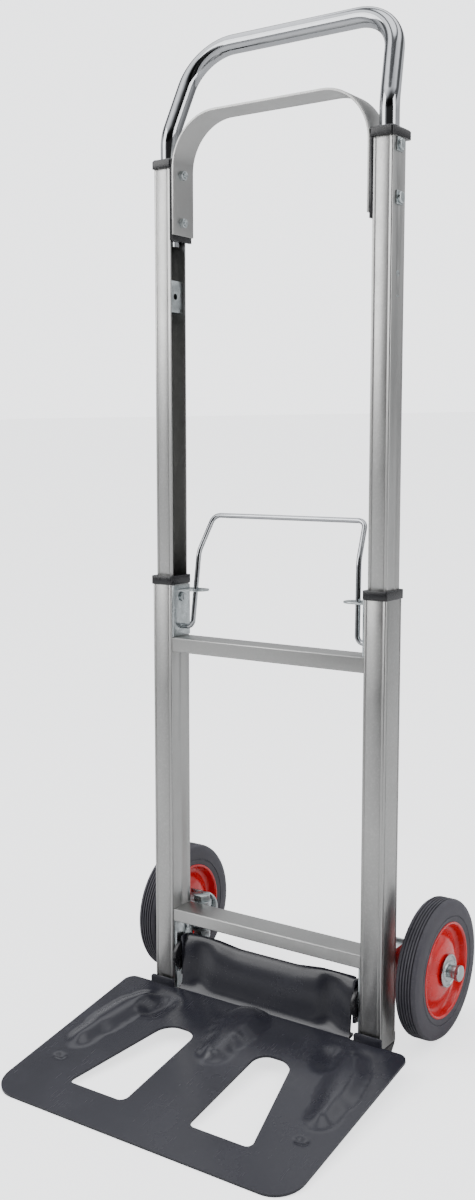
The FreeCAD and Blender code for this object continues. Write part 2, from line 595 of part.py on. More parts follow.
def handle():
    """Chromed tube bent to a U; its legs lean back and a little inwards above the caps."""
    half = [V(HANDLE_X, MAST_MID_Y, MAST_TOP - HANDLE_DEPTH), V(HANDLE_X, MAST_MID_Y, HANDLE_BEND_Z),
            V(HANDLE_TOP_X, HANDLE_BACK_Y, HANDLE_BEND_Z + HANDLE_RISE)]
    points = half + [V(-point.x, point.y, point.z) for point in reversed(half)]
    radii = [HANDLE_BEND_RADIUS, HANDLE_CORNER, HANDLE_CORNER, HANDLE_BEND_RADIUS]
    outer = bent_rod(points, radii, HANDLE_DIAMETER / 2)
    tube = outer.cut(bent_rod(points, radii, HANDLE_DIAMETER / 2 - HANDLE_WALL))
    for z in HANDLE_BOLT_ZS:
        tube = tube.cut(rod(HANDLE_BOLT_DIAMETER / 2 + RUNNING, V(-MAST_OUTER_X, MAST_MID_Y, z),
                            V(MAST_OUTER_X, MAST_MID_Y, z)))
    return tube


def strap():
    """Flat bar bent to a U between the mast's channels, under the handle."""
    y0 = STRAP_MID_Y - STRAP_WIDTH / 2
    y1 = STRAP_MID_Y + STRAP_WIDTH / 2
    low = MAST_TOP - STRAP_DROP
    outer = block(-STRAP_OUTER_X, STRAP_OUTER_X, y0, y1, low, STRAP_TOP)
    inner = block(-STRAP_INNER_X, STRAP_INNER_X, y0, y1, low, STRAP_TOP - STRAP_THICKNESS)
    outer = outer.makeFillet(STRAP_CORNER + STRAP_THICKNESS, top_corners(outer, STRAP_TOP))
    inner = inner.makeFillet(STRAP_CORNER, top_corners(inner, STRAP_TOP - STRAP_THICKNESS))
    bar = outer.cut(inner)
    for z in HANDLE_BOLT_ZS:
        bar = bar.cut(rod(HANDLE_BOLT_DIAMETER / 2, V(-STRAP_OUTER_X - PAST, MAST_MID_Y, z),
                          V(STRAP_OUTER_X + PAST, MAST_MID_Y, z)))
    return bar


def top_corners(shape, top):
    """The two edges along Y at the top of a block."""
    chosen = []
    for edge in shape.Edges:
        first = edge.valueAt(edge.FirstParameter)
        last = edge.valueAt(edge.LastParameter)
        level = abs(first.z - top) < 1e-6 and abs(last.z - top) < 1e-6
        if level and abs(first.x - last.x) < 1e-6:
            chosen.append(edge)
    return chosen


def mast_cap():
    """Black cap round the handle's leg, with a long pad behind the strap."""
    x0 = STRAP_OUTER_X
    x1 = MAST_OUTER_X + CAP_WALL
    y0 = STRAP_MID_Y - STRAP_WIDTH / 2 - CAP_WALL
    y1 = STRAP_MID_Y + STRAP_WIDTH / 2 + CAP_WALL
    shell = block(x0, x1, y0, y1, MAST_TOP - CAP_SKIRT, CAP_TOP)
    shell = shell.makeFillet(CAP_CORNER, vertical_edges(shell))
    top_edges = [edge for edge in shell.Edges if abs(edge.BoundBox.ZMin - CAP_TOP) < 1e-6]
    shell = shell.makeChamfer(CAP_CHAMFER, top_edges)
    shell = shell.cut(block(MAST_INNER_X, MAST_OUTER_X, MAST_FRONT, MAST_BACK,
                            MAST_TOP - CAP_SKIRT, MAST_TOP))
    pad = block(STRAP_OUTER_X, MAST_INNER_X, y0 + CAP_WALL, y1 - CAP_WALL, PAD_BOTTOM, MAST_TOP)
    cap = shell.fuse(pad).removeSplitter()
    cap = cap.cut(rod(HANDLE_DIAMETER / 2 + RUNNING, V(HANDLE_X, MAST_MID_Y, MAST_TOP - PAST),
                      V(HANDLE_X, MAST_MID_Y, CAP_TOP + PAST)))
    for z in HANDLE_BOLT_ZS:
        cap = cap.cut(rod(HANDLE_BOLT_DIAMETER / 2, V(STRAP_INNER_X, MAST_MID_Y, z),
                          V(MAST_INNER_X + PAST, MAST_MID_Y, z)))
    return cap


def handle_bolt(z):
    """Bolt through the mast's web, the handle's leg, the pad and the strap."""
    head_face = MAST_OUTER_X + HANDLE_WASHER_THICKNESS
    end = STRAP_INNER_X - HANDLE_NUT_HEIGHT - HANDLE_BOLT_PAST_NUT
    shank = rod(HANDLE_BOLT_DIAMETER / 2, V(end, MAST_MID_Y, z), V(head_face, MAST_MID_Y, z))
    head = rod(HANDLE_BOLT_DIAMETER, V(head_face, MAST_MID_Y, z),
               V(head_face + HANDLE_BOLT_HEAD, MAST_MID_Y, z))
    return shank.fuse(head.makeFillet(2.0, [head.Edges[0]])).removeSplitter()


def handle_washer(z):
    """Square washer under a bolt's head."""
    half = HANDLE_WASHER_SIDE / 2
    plate = block(MAST_OUTER_X, MAST_OUTER_X + HANDLE_WASHER_THICKNESS, MAST_MID_Y - half,
                  MAST_MID_Y + half, z - half, z + half)
    return plate.cut(rod(HANDLE_BOLT_DIAMETER / 2, V(MAST_OUTER_X - PAST, MAST_MID_Y, z),
                         V(MAST_OUTER_X + HANDLE_WASHER_THICKNESS + PAST, MAST_MID_Y, z)))


def handle_nut(z):
    """Nut on the strap's inner face."""
    end = STRAP_INNER_X - HANDLE_NUT_HEIGHT
    nut = hexagon(HANDLE_NUT_FLATS, V(end, MAST_MID_Y, z), V(STRAP_INNER_X, MAST_MID_Y, z))
    return nut.cut(rod(HANDLE_BOLT_DIAMETER / 2, V(end - PAST, MAST_MID_Y, z),
                       V(STRAP_INNER_X + PAST, MAST_MID_Y, z)))


# ---- fold brackets ---------------------------------------------------------------------------
def upright(radius, z0, z1):
    """A cylinder on the wheel bracket's pivot axis."""
    return rod(radius, V(PIVOT_X, PIVOT_Y, z0), V(PIVOT_X, PIVOT_Y, z1))


def fold_bracket():
    """Zinc plate on the rail's inner face: it carries the toe pivot and the wheel pivot's lugs."""
    crossbar_back = BAR_FRONT + LOWER_BAR_DEPTH
    under_bar = LOWER_BAR_TOP - LOWER_BAR_HEIGHT - 2 * FACE_GAP
    behind_bar = crossbar_back + 2 * FACE_GAP
    tongue_back = PIVOT_Y - SPACER_RADIUS - 1.0
    front = TOE_PIVOT_Y - TOE_PIVOT_DIAMETER / 2 - 4.0
    low = RAIL_BOTTOM + PLATE_LIFT
    plate = prism_x(((front, low), (front, under_bar), (behind_bar, under_bar),
                     (behind_bar, LUG_TOP), (tongue_back, LUG_TOP), (tongue_back, LUG_BOTTOM),
                     (RAIL_DEPTH, LUG_BOTTOM), (RAIL_DEPTH, low)), PLATE_X, RAIL_INNER_X)
    pieces = []
    for z in (LUG_BOTTOM, LUG_TOP - BRACKET_THICKNESS):
        pieces.append(upright(LUG_RADIUS, z, z + BRACKET_THICKNESS))
        pieces.append(block(PIVOT_X, RAIL_INNER_X, PIVOT_Y - LUG_RADIUS, PIVOT_Y + LUG_RADIUS,
                            z, z + BRACKET_THICKNESS))
    bracket = plate.fuse(pieces).removeSplitter()
    bracket = bracket.cut(upright(PIVOT_DIAMETER / 2 + RUNNING, LUG_BOTTOM - PAST, LUG_TOP + PAST))
    holes = [(TOE_PIVOT_DIAMETER / 2, TOE_PIVOT_Y, TOE_PIVOT_Z)]
    holes += [(RIVET_RADIUS, y, z) for y, z in FOLD_RIVETS]
    for radius, y, z in holes:
        bracket = bracket.cut(rod(radius, V(PLATE_X - PAST, y, z), V(RAIL_INNER_X + PAST, y, z)))
    return bracket


def fold_rivet(y, z):
    """Rivet through the fold bracket and the rail's inner wall."""
    head = rod(2 * RIVET_RADIUS, V(PLATE_X - RIVET_HEAD_HEIGHT, y, z), V(PLATE_X, y, z))
    return head.fuse(wall_fixing(y, z, RIVET_RADIUS, 1.6 * RIVET_RADIUS, PLATE_X))


def pivot_spacer():
    """Tube round the upright bolt, between the lugs."""
    inner_low = LUG_BOTTOM + BRACKET_THICKNESS
    inner_high = LUG_TOP - BRACKET_THICKNESS
    tube = upright(SPACER_RADIUS, inner_low, inner_high)
    return tube.cut(upright(PIVOT_DIAMETER / 2 + RUNNING, inner_low - PAST, inner_high + PAST))


def pivot_bolt():
    """Upright bolt that a wheel bracket swings about."""
    head_base = SWING_HIGH + FACE_GAP
    head = hexagon(PIVOT_NUT_FLATS, V(PIVOT_X, PIVOT_Y, head_base),
                   V(PIVOT_X, PIVOT_Y, head_base + PIVOT_HEAD_HEIGHT))
    shank = upright(PIVOT_DIAMETER / 2, SWING_LOW - PIVOT_TAIL, head_base)
    return head.fuse(shank).removeSplitter()


def pivot_nut():
    """Lock nut under the wheel bracket, with a rounded nylon end."""
    top = SWING_LOW - FACE_GAP
    low = top - PIVOT_NUT_HEIGHT
    end = low - PIVOT_NUT_DOME
    nut = hexagon(PIVOT_NUT_FLATS, V(PIVOT_X, PIVOT_Y, low), V(PIVOT_X, PIVOT_Y, top))
    nut = nut.fuse(upright(PIVOT_NUT_DOME_RADIUS, end, low)).removeSplitter()
    return nut.cut(upright(PIVOT_DIAMETER / 2, end - PAST, top + PAST))


def wheel_bracket():
    """Pressed bracket: two flanges on the pivot, a back web and the arm that holds the axle."""
    lug_radius = LUG_RADIUS + 0.2
    front = PIVOT_Y - lug_radius
    web_y = PIVOT_Y + lug_radius + 2.0
    web_back = web_y + BRACKET_THICKNESS
    pieces = []
    for z in (SWING_LOW, SWING_HIGH - BRACKET_THICKNESS):
        pieces.append(upright(lug_radius, z, z + BRACKET_THICKNESS))
        pieces.append(block(PIVOT_X, ARM_OUT_X, front, web_back, z, z + BRACKET_THICKNESS))
    web_inner = PIVOT_X - LUG_RADIUS
    web = block(web_inner, ARM_OUT_X, web_y, web_back, SWING_LOW, ARM_TOP)
    web_top = [edge for edge in web.Edges if abs(edge.BoundBox.ZMin - ARM_TOP) < 1e-6
               and edge.BoundBox.XLength < 1e-6 and edge.BoundBox.XMin < web_inner + 1]
    pieces.append(web.makeFillet(14.0, web_top))
    half = ARM_END_RADIUS / 2
    arm_low = AXLE_Z - ARM_END_RADIUS + 2.5
    arm_high = AXLE_Z + ARM_END_RADIUS - 2.5
    arm = prism_x(((front, SWING_LOW), (front, SWING_HIGH), (web_back, SWING_HIGH),
                   (AXLE_Y + half, arm_high), (AXLE_Y + half, arm_low), (AXLE_Y - half, arm_low),
                   (web_y - 4.0, SWING_LOW)), ARM_X, ARM_OUT_X)
    pieces.append(arm)
    pieces.append(along_axle(ARM_END_RADIUS, ARM_X, ARM_OUT_X))
    bracket = pieces[0].fuse(pieces[1:]).removeSplitter()
    bracket = bracket.cut(upright(PIVOT_DIAMETER / 2 + RUNNING, SWING_LOW - PAST, ARM_TOP + PAST))
    return bracket.cut(along_axle(AXLE_DIAMETER / 2 + RUNNING, ARM_X - PAST, ARM_OUT_X + PAST))


# ---- wheels -----------------------------------------------------------------------------------
def along_axle(radius, x0, x1):
    """A cylinder on the axle's line."""
    return rod(radius, V(x0, AXLE_Y, AXLE_Z), V(x1, AXLE_Y, AXLE_Z))


def axle():
    """Shouldered bolt: an outer head, a plain shank through the wheel and the arm."""
    shank = along_axle(AXLE_DIAMETER / 2, AXLE_INNER_X, AXLE_END_X - AXLE_HEAD_HEIGHT)
    head = along_axle(AXLE_HEAD_DIAMETER / 2, AXLE_END_X - AXLE_HEAD_HEIGHT, AXLE_END_X)
    head = head.makeFillet(1.2, [head.Edges[0]])
    return shank.fuse(head).removeSplitter()


def axle_nut(x0, x1):
    nut = hexagon(AXLE_NUT_FLATS, V(x0, AXLE_Y, AXLE_Z), V(x1, AXLE_Y, AXLE_Z))
    return nut.cut(along_axle(AXLE_DIAMETER / 2, x0 - PAST, x1 + PAST))


def axle_washer(x0, radius):
    disc = along_axle(radius, x0, x0 + WASHER_THICKNESS)
    return disc.cut(along_axle(AXLE_DIAMETER / 2, x0 - PAST, x0 + WASHER_THICKNESS + PAST))


def axle_spacer():
    """Sleeve between the outer washer and the axle's head."""
    x0 = BUSH_OUT_X + FACE_GAP + WASHER_THICKNESS
    x1 = AXLE_END_X - AXLE_HEAD_HEIGHT
    tube = along_axle(AXLE_DIAMETER / 2 + SLEEVE_WALL, x0, x1)
    return tube.cut(along_axle(AXLE_DIAMETER / 2, x0 - PAST, x1 + PAST))


def hub_bush(x_flange, x_end):
    """Flanged nylon bush in one end of the hub."""
    flange_end = x_flange + math.copysign(BUSH_FLANGE, x_end - x_flange)
    low, high = sorted((x_flange, x_end))
    flange_low, flange_high = sorted((x_flange, flange_end))
    bush = along_axle(BUSH_RADIUS, low, high)
    bush = bush.fuse(along_axle(BUSH_RADIUS + BUSH_FLANGE_STEP, flange_low, flange_high)).removeSplitter()
    return bush.cut(along_axle(AXLE_DIAMETER / 2 + RUNNING, low - PAST, high + PAST))


def rim():
    """Dished red rim: outer lip, step, deep ring and a raised hub."""
    disc_out = RIM_OUT_X - 11.0
    profile = ((HUB_IN_X, BUSH_RADIUS), (HUB_IN_X, HUB_RADIUS), (disc_out - 5.0, HUB_RADIUS + 6.0),
               (disc_out - 5.0, 43.0), (RIM_IN_X, 46.5), (RIM_IN_X, RIM_RADIUS),
               (RIM_OUT_X, RIM_RADIUS), (RIM_OUT_X, RIM_RADIUS - 4.0), (RIM_OUT_X - 3.0, 48.5),
               (RIM_OUT_X - 3.0, 45.5), (disc_out, 43.0), (disc_out, HUB_RADIUS + 7.0),
               (RIM_OUT_X - 3.0, HUB_RADIUS + 4.0), (RIM_OUT_X, HUB_RADIUS),
               (HUB_OUT_X, HUB_RADIUS - 4.0), (HUB_OUT_X, BUSH_RADIUS))
    return turned(profile, AXLE_Y, AXLE_Z)


def tyre():
    """Solid rubber tyre with grooves round its crown."""
    shoulder = TYRE_SHOULDER
    near_crown = WHEEL_RADIUS - 1.3
    profile = ((WHEEL_INNER_X, RIM_RADIUS), (WHEEL_INNER_X, WHEEL_RADIUS - shoulder),
               (WHEEL_INNER_X + shoulder / 2, near_crown), (WHEEL_INNER_X + shoulder + 1, WHEEL_RADIUS),
               (WHEEL_OUTER_X - shoulder - 1, WHEEL_RADIUS), (WHEEL_OUTER_X - shoulder / 2, near_crown),
               (WHEEL_OUTER_X, WHEEL_RADIUS - shoulder), (WHEEL_OUTER_X, RIM_RADIUS))
    ring_shape = turned(profile, AXLE_Y, AXLE_Z)
    pitch = (TYRE_WIDTH - 2 * shoulder) / TREAD_GROOVES
    half = TREAD_GROOVE_WIDTH / 2
    for index in range(TREAD_GROOVES):
        x = WHEEL_INNER_X + shoulder + pitch * (index + 0.5)
        groove = along_axle(WHEEL_RADIUS + PAST, x - half, x + half)
        core = along_axle(WHEEL_RADIUS - TREAD_GROOVE_DEPTH, x - half - PAST, x + half + PAST)
        ring_shape = ring_shape.cut(groove.cut(core))
    return ring_shape


# ---- toe plate ---------------------------------------------------------------------------------
def rounded_outline(points, radii, z):
    """A closed outline in a level plane whose corners are arcs."""
    count = len(points)
    edges = []
    entries = []
    for index in range(count):
        corner = V(points[index][0], points[index][1], z)
        before = points[index - 1]
        after = points[(index + 1) % count]
        back = V(before[0], before[1], z) - corner
        ahead = V(after[0], after[1], z) - corner
        back.normalize()
        ahead.normalize()
        half = back.getAngle(ahead) / 2
        cut = radii[index] / math.tan(half)
        middle = back + ahead
        middle.normalize()
        top = corner + middle * (radii[index] / math.sin(half) - radii[index])
        entries.append((corner + back * cut, top, corner + ahead * cut))
    for index in range(count):
        enter, top, leave = entries[index]
        edges.append(Part.Arc(enter, top, leave).toShape())
        edges.append(Part.LineSegment(leave, entries[(index + 1) % count][0]).toShape())
    return Part.Face(Part.Wire(edges))


def slab(points, radii, thickness):
    """A level plate whose top is at z = 0."""
    return rounded_outline(points, radii, -thickness).extrude(V(0, 0, thickness))


def tilted(shape):
    """Drop a level plate into the toe plate's slope."""
    shape.rotate(V(0, 0, 0), X_AXIS, TOE_SLOPE)
    shape.translate(V(0, 0, TOE_TOP_AT_RAILS))
    return shape


def toe_plate():
    """Pressed steel plate with two openings, a flange between the rails and two pivot ears."""
    half = TOE_WIDTH / 2
    wings = slab(((-half, -TOE_LENGTH), (half, -TOE_LENGTH), (half, -TOE_BACK), (-half, -TOE_BACK)),
                 (TOE_FRONT_CORNER, TOE_FRONT_CORNER, TOE_BACK_CORNER, TOE_BACK_CORNER),
                 TOE_THICKNESS)
    bridge = slab(((-EAR_X, -BRIDGE_FRONT), (EAR_X, -BRIDGE_FRONT), (EAR_X, FLANGE_BACK),
                   (-EAR_X, FLANGE_BACK)), (1.0, 1.0, 1.0, 1.0), TOE_THICKNESS)
    plate = wings.fuse(bridge)
    for side in (-1, 1):
        corners = [(side * HOLE_INNER_X, -HOLE_BACK), (side * HOLE_INNER_X, -HOLE_FRONT),
                   (side * HOLE_OUTER_FRONT_X, -HOLE_FRONT), (side * HOLE_OUTER_BACK_X, -HOLE_BACK)]
        window = rounded_outline(corners, (HOLE_CORNER,) * 4, -2 * TOE_THICKNESS)
        plate = plate.cut(window.extrude(V(0, 0, 4 * TOE_THICKNESS)))
    plate = tilted(plate)
    flange = block(-EAR_X, EAR_X, FLANGE_FRONT, FLANGE_BACK, TOE_TOP_AT_RAILS - 1.0, FLANGE_TOP)
    pieces = [flange.cut(block(-FLANGE_DIP_HALF, FLANGE_DIP_HALF, FLANGE_FRONT - PAST,
                               FLANGE_BACK + PAST, FLANGE_TOP - FLANGE_DIP, FLANGE_TOP + PAST))]
    for side in (-1, 1):
        pieces.append(toe_ear(side))
        x0, x1 = sorted((side * (RAIL_INNER_X - LIP_OVERHANG), side * (RAIL_OUTER_X + LIP_OVERHANG)))
        pieces.append(block(x0, x1, -LIP_GAP - TOE_THICKNESS, -LIP_GAP,
                            TOE_TOP_AT_RAILS - LIP_SINK, TOE_TOP_AT_RAILS + LIP_HEIGHT))
    plate = plate.fuse(pieces).removeSplitter()
    for side in (-1, 1):
        plate = plate.cut(rod(TOE_PIVOT_DIAMETER / 2 + RUNNING,
                              V(side * EAR_X, TOE_PIVOT_Y, TOE_PIVOT_Z),
                              V(side * (EAR_OUT_X + PAST), TOE_PIVOT_Y, TOE_PIVOT_Z)))
    return plate


def toe_ear(side):
    """Round ear at one end of the flange, flat where it meets the flange's front."""
    x0, x1 = sorted((side * EAR_X, side * EAR_OUT_X))
    disc = rod(EAR_RADIUS, V(x0, TOE_PIVOT_Y, TOE_PIVOT_Z), V(x1, TOE_PIVOT_Y, TOE_PIVOT_Z))
    return disc.cut(block(x0 - PAST, x1 + PAST, TOE_PIVOT_Y - EAR_RADIUS - PAST, FLANGE_FRONT,
                          TOE_PIVOT_Z - EAR_RADIUS - PAST, TOE_PIVOT_Z + EAR_RADIUS + PAST))


def toe_boss():
    """Black disc between the ear and the fold bracket."""
    start = V(EAR_OUT_X, TOE_PIVOT_Y, TOE_PIVOT_Z)
    end = V(PLATE_X - FACE_GAP, TOE_PIVOT_Y, TOE_PIVOT_Z)
    return ring(TOE_BOSS_RADIUS, TOE_PIVOT_DIAMETER / 2 + RUNNING, start, end)


def toe_pin():
    """Pin pressed in the fold bracket, flush with the ear that turns on it."""
    return rod(TOE_PIVOT_DIAMETER / 2, V(EAR_X, TOE_PIVOT_Y, TOE_PIVOT_Z),
               V(RAIL_INNER_X, TOE_PIVOT_Y, TOE_PIVOT_Z))


def build():
    """Write every node."""
    os.makedirs("parts", exist_ok=True)
    upper_bar = (UPPER_BAR_TOP, UPPER_BAR_HEIGHT, UPPER_BAR_DEPTH)
    lower_bar = (LOWER_BAR_TOP, LOWER_BAR_HEIGHT, LOWER_BAR_DEPTH)
    save_pair("lower_rail", lower_rail())
    save("upper_crossbar", crossbar(*upper_bar))
    save("lower_crossbar", crossbar(*lower_bar))
    save_both("crossbar_plugs", crossbar_plug(*upper_bar), crossbar_plug(*lower_bar))
    plug_end = RAIL_INNER_X - PLUG_LENGTH + 2.0
    save_both("crossbar_screws",
              *[wall_fixing(*middle, BAR_SCREW_RADIUS, BAR_SCREW_HEAD_RADIUS, plug_end)
                for middle in (UPPER_BAR_MID, LOWER_BAR_MID)])
    save_pair("collar", collar())
    save_pair("guide_pad", guide_pad())
    save_pair("latch_bracket", latch_bracket())
    save_both("latch_screws", latch_screw())
    save_pair("foot_plug", foot_plug())
    save("release_bail", release_bail())
    save_pair("mast_rail", mast_rail())
    save_pair("lock_strike_lower", strike(STRIKE_ZS[0]))
    save_pair("lock_strike_upper", strike(STRIKE_ZS[1]))
    save_both("strike_rivets", *[strike_rivet(z) for z in STRIKE_ZS])
    save("handle", handle())
    save("handle_strap", strap())
    save_pair("mast_cap", mast_cap())
    save_both("handle_bolts", *[handle_bolt(z) for z in HANDLE_BOLT_ZS])
    save_both("handle_washers", *[handle_washer(z) for z in HANDLE_BOLT_ZS])
    save_both("handle_nuts", *[handle_nut(z) for z in HANDLE_BOLT_ZS])
    save_pair("fold_bracket", fold_bracket())
    save_both("fold_rivets", *[fold_rivet(*place) for place in FOLD_RIVETS])
    save_both("pivot_spacers", pivot_spacer())
    save_both("pivot_bolts", pivot_bolt())
    save_both("pivot_nuts", pivot_nut())
    save_pair("wheel_bracket", wheel_bracket())
    save_pair("axle", axle())
    nuts = [axle_nut(ARM_X - AXLE_NUT_HEIGHTS[0], ARM_X),
            axle_nut(ARM_OUT_X, ARM_OUT_X + AXLE_NUT_HEIGHTS[1])]
    save_pair("axle_nuts", Part.makeCompound(nuts))
    inner_washer = axle_washer(BUSH_IN_X - FACE_GAP - WASHER_THICKNESS, INNER_WASHER_RADIUS)
    outer_washer = axle_washer(BUSH_OUT_X + FACE_GAP, WASHER_RADIUS)
    save_pair("axle_washers", Part.makeCompound([inner_washer, outer_washer]))
    save_pair("axle_spacer", axle_spacer())
    save_pair("hub_bushes", Part.makeCompound([hub_bush(BUSH_IN_X, HUB_IN_X + BUSH_LENGTH),
                                               hub_bush(BUSH_OUT_X, HUB_OUT_X - BUSH_LENGTH)]))
    save_pair("rim", rim())
    save_pair("tyre", tyre())
    save("toe_plate", toe_plate())
    save_both("toe_bosses", toe_boss())
    save_both("toe_pins", toe_pin())


build()
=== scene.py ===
"""Looks for a folding aluminium hand truck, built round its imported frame."""
import json
import math

import bmesh
import bpy
from mathutils import Matrix, Vector


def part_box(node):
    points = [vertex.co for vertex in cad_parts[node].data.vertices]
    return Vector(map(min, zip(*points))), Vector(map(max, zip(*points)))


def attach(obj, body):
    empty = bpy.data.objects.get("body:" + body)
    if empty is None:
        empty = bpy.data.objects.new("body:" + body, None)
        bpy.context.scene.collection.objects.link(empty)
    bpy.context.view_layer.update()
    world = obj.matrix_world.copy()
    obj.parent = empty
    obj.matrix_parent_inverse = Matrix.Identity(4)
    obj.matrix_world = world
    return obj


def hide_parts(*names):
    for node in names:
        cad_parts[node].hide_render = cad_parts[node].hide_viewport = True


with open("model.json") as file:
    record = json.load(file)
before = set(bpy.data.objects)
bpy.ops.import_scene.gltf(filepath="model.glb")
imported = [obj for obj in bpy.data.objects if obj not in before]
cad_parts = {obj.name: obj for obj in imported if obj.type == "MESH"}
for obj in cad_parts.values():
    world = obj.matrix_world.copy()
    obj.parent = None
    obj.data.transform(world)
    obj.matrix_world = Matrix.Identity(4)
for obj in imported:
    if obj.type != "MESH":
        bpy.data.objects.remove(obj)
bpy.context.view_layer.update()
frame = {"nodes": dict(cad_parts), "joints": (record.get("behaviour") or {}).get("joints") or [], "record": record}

bl_info = {
    "name": "Folding hand truck",
    "version": (1, 0, 0),
    "blender": (4, 5, 0),
    "location": "3D View > Sidebar > Hand truck",
    "description": "Builds the pieces, finishes and studio of a folding hand truck",
    "category": "Object",
}

NODES = frame["nodes"]
JOINTS = {joint["name"]: joint for joint in frame["joints"]}
UP = Vector(JOINTS["mast_slide"]["axis"])
LEAN = math.atan2(UP.y, UP.z)
TOE_AXIS = (0.012, 0.052)           # y and z of the toe plate's pivot, in the rails' frame
# Turns the rails' frame, in which pieces are drawn upright, into the truck's own leaning one.
STAND = (Matrix.Translation(JOINTS["toe_fold"]["pos_m"]) @ Matrix.Rotation(-LEAN, 4, "X")
         @ Matrix.Translation((0, -TOE_AXIS[0], -TOE_AXIS[1])))
SIDES = (-1, 1)                     # left and right, along x
MM = 0.001
TOUCH = 1e-6                        # vertices closer than this are one
CAD_TOUCH = 2e-6
NEAR = 1e-5                         # how close a vertex is to the place it is looked for


# ---- sizes and colours -----------------------------------------------------------------------
def length(name, value, about):
    return bpy.props.FloatProperty(name=name, description=about, default=value, unit="LENGTH")


def colour(name, value, about):
    return bpy.props.FloatVectorProperty(name=name, description=about, default=value, size=4,
                                         min=0.0, max=1.0, subtype="COLOR")


class TruckSizes(bpy.types.PropertyGroup):
    """Sizes of the new pieces, in metres."""
    handle_radius: length("Handle radius", 0.0106, "Outer radius of the chromed handle tube")
    bail_radius: length("Bail radius", 0.003, "Radius of the release bail's wire")
    strap_thickness: length("Strap thickness", 0.003, "Thickness of the flat strap under the grip")
    sheet: length("Sheet thickness", 0.003, "Thickness of the pressed toe plate")
    groove_depth: length("Tread groove depth", 0.0016, "Depth of the grooves round each tyre")
    edge: length("Edge radius", 0.0004, "Rounding of the plain parts' edges")


class TruckColours(bpy.types.PropertyGroup):
    """Base colours of the finishes."""
    aluminium: colour("Aluminium", (0.42, 0.42, 0.412, 1), "Satin anodised rails and strap")
    zinc: colour("Zinc", (0.50, 0.54, 0.55, 1), "Plated brackets, bolts and axles")
    chrome: colour("Chrome", (0.42, 0.430, 0.447, 1), "Handle and release bail")
    plate: colour("Toe plate", (0.0215, 0.0218, 0.0300, 1), "Powder coat of the toe plate")
    enamel: colour("Rim", (0.62, 0.002, 0.005, 1), "Gloss enamel of the rims")
    plastic: colour("Plastic", (0.008, 0.008, 0.010, 1), "Caps, collars and feet")
    nylon: colour("Nylon", (0.62, 0.61, 0.57, 1), "Guide pads and bushes")
    rubber: colour("Rubber", (0.047, 0.045, 0.057, 1), "Solid tyres")


def sizes():
    return bpy.context.scene.truck_sizes


# ---- shaping ---------------------------------------------------------------------------------
def clear():
    """Back to object mode with nothing selected."""
    if bpy.context.object and bpy.context.object.mode != "OBJECT":
        bpy.ops.object.mode_set(mode="OBJECT")
    bpy.ops.object.select_all(action="DESELECT")


def activate(thing):
    """Selects one object alone and makes it the active one."""
    clear()
    thing.select_set(True)
    bpy.context.view_layer.objects.active = thing


def begin(name):
    """Names a new primitive, settles its place into its mesh and opens it for shaping."""
    thing = bpy.context.object
    thing.name = name
    thing.data.name = name
    bpy.ops.object.transform_apply(location=True, rotation=True, scale=True)
    bpy.ops.object.mode_set(mode="EDIT")
    bpy.ops.mesh.select_all(action="SELECT")
    return thing


def choose(kind, test):
    """Selects the vertices, edges or faces whose middle passes the test."""
    bpy.ops.mesh.select_mode(type=kind)
    bpy.ops.mesh.select_all(action="DESELECT")
    mesh = bmesh.from_edit_mesh(bpy.context.object.data)
    items = {"VERT": mesh.verts, "EDGE": mesh.edges, "FACE": mesh.faces}[kind]
    for item in items:
        corners = [item] if kind == "VERT" else item.verts
        middle = sum((corner.co for corner in corners), Vector()) / len(corners)
        if test(middle):
            item.select_set(True)
    mesh.select_flush_mode()
    bmesh.update_edit_mesh(bpy.context.object.data)


def extrude(step):
    bpy.ops.mesh.extrude_region_move(TRANSFORM_OT_translate={"value": tuple(step)})


def spin(angle, centre, axis, steps):
    """Turns the selection by the angle, right-handed about the axis."""
    bpy.ops.mesh.spin(steps=steps, angle=-angle, center=tuple(centre), axis=tuple(axis))


def tidy_shell():
    """Closes the seams of the shape being edited and turns its faces outward."""
    bpy.ops.mesh.select_all(action="SELECT")
    bpy.ops.mesh.remove_doubles(threshold=TOUCH)
    bpy.ops.mesh.normals_make_consistent(inside=False)


def chain(name, points, closed):
    """A line of vertices through the points, drawn one step at a time."""
    clear()
    bpy.ops.mesh.primitive_plane_add(size=MM, location=points[0])
    thing = begin(name)
    bpy.ops.mesh.merge(type="CENTER")
    for last, point in zip(points, points[1:]):
        extrude(Vector(point) - Vector(last))
    if closed:
        ends = (Vector(points[0]), Vector(points[-1]))
        choose("VERT", lambda at: min((at - end).length for end in ends) < TOUCH)
        bpy.ops.mesh.edge_face_add()
    bpy.ops.mesh.select_all(action="SELECT")
    return thing


def turned(name, profile, centre, steps):
    """A ring turned about the axle from a closed profile of (along, radius) in millimetres."""
    points = [(centre[0] + along * MM, centre[1], centre[2] + radius * MM)
              for along, radius in profile]
    thing = chain(name, points, True)
    spin(math.tau, centre, (1, 0, 0), steps)
    tidy_shell()
    bpy.ops.object.mode_set(mode="OBJECT")
    return thing


def swept(route, radii, steps):
    """Carries the selected section from the route's start along straight runs and bends."""
    here = Vector(route[0])
    heading = (Vector(route[1]) - here).normalized()
    for corner, after, radius in zip(route[1:], route[2:], radii):
        corner = Vector(corner)
        outward = (Vector(after) - corner).normalized()
        angle = heading.angle(outward)
        trim = radius * math.tan(angle / 2)
        extrude(corner - heading * trim - here)
        axis = heading.cross(outward).normalized()
        centre = corner - heading * trim + axis.cross(heading) * radius
        spin(angle, centre, axis, steps)
        here = corner + outward * trim
        heading = outward
    extrude(Vector(route[-1]) - here)


def modify(thing, kind, **settings):
    """Adds a modifier with the settings and applies it."""
    activate(thing)
    modifier = thing.modifiers.new(kind.title(), kind)
    for key, value in settings.items():
        setattr(modifier, key, value)
    bpy.ops.object.modifier_apply(modifier=modifier.name)


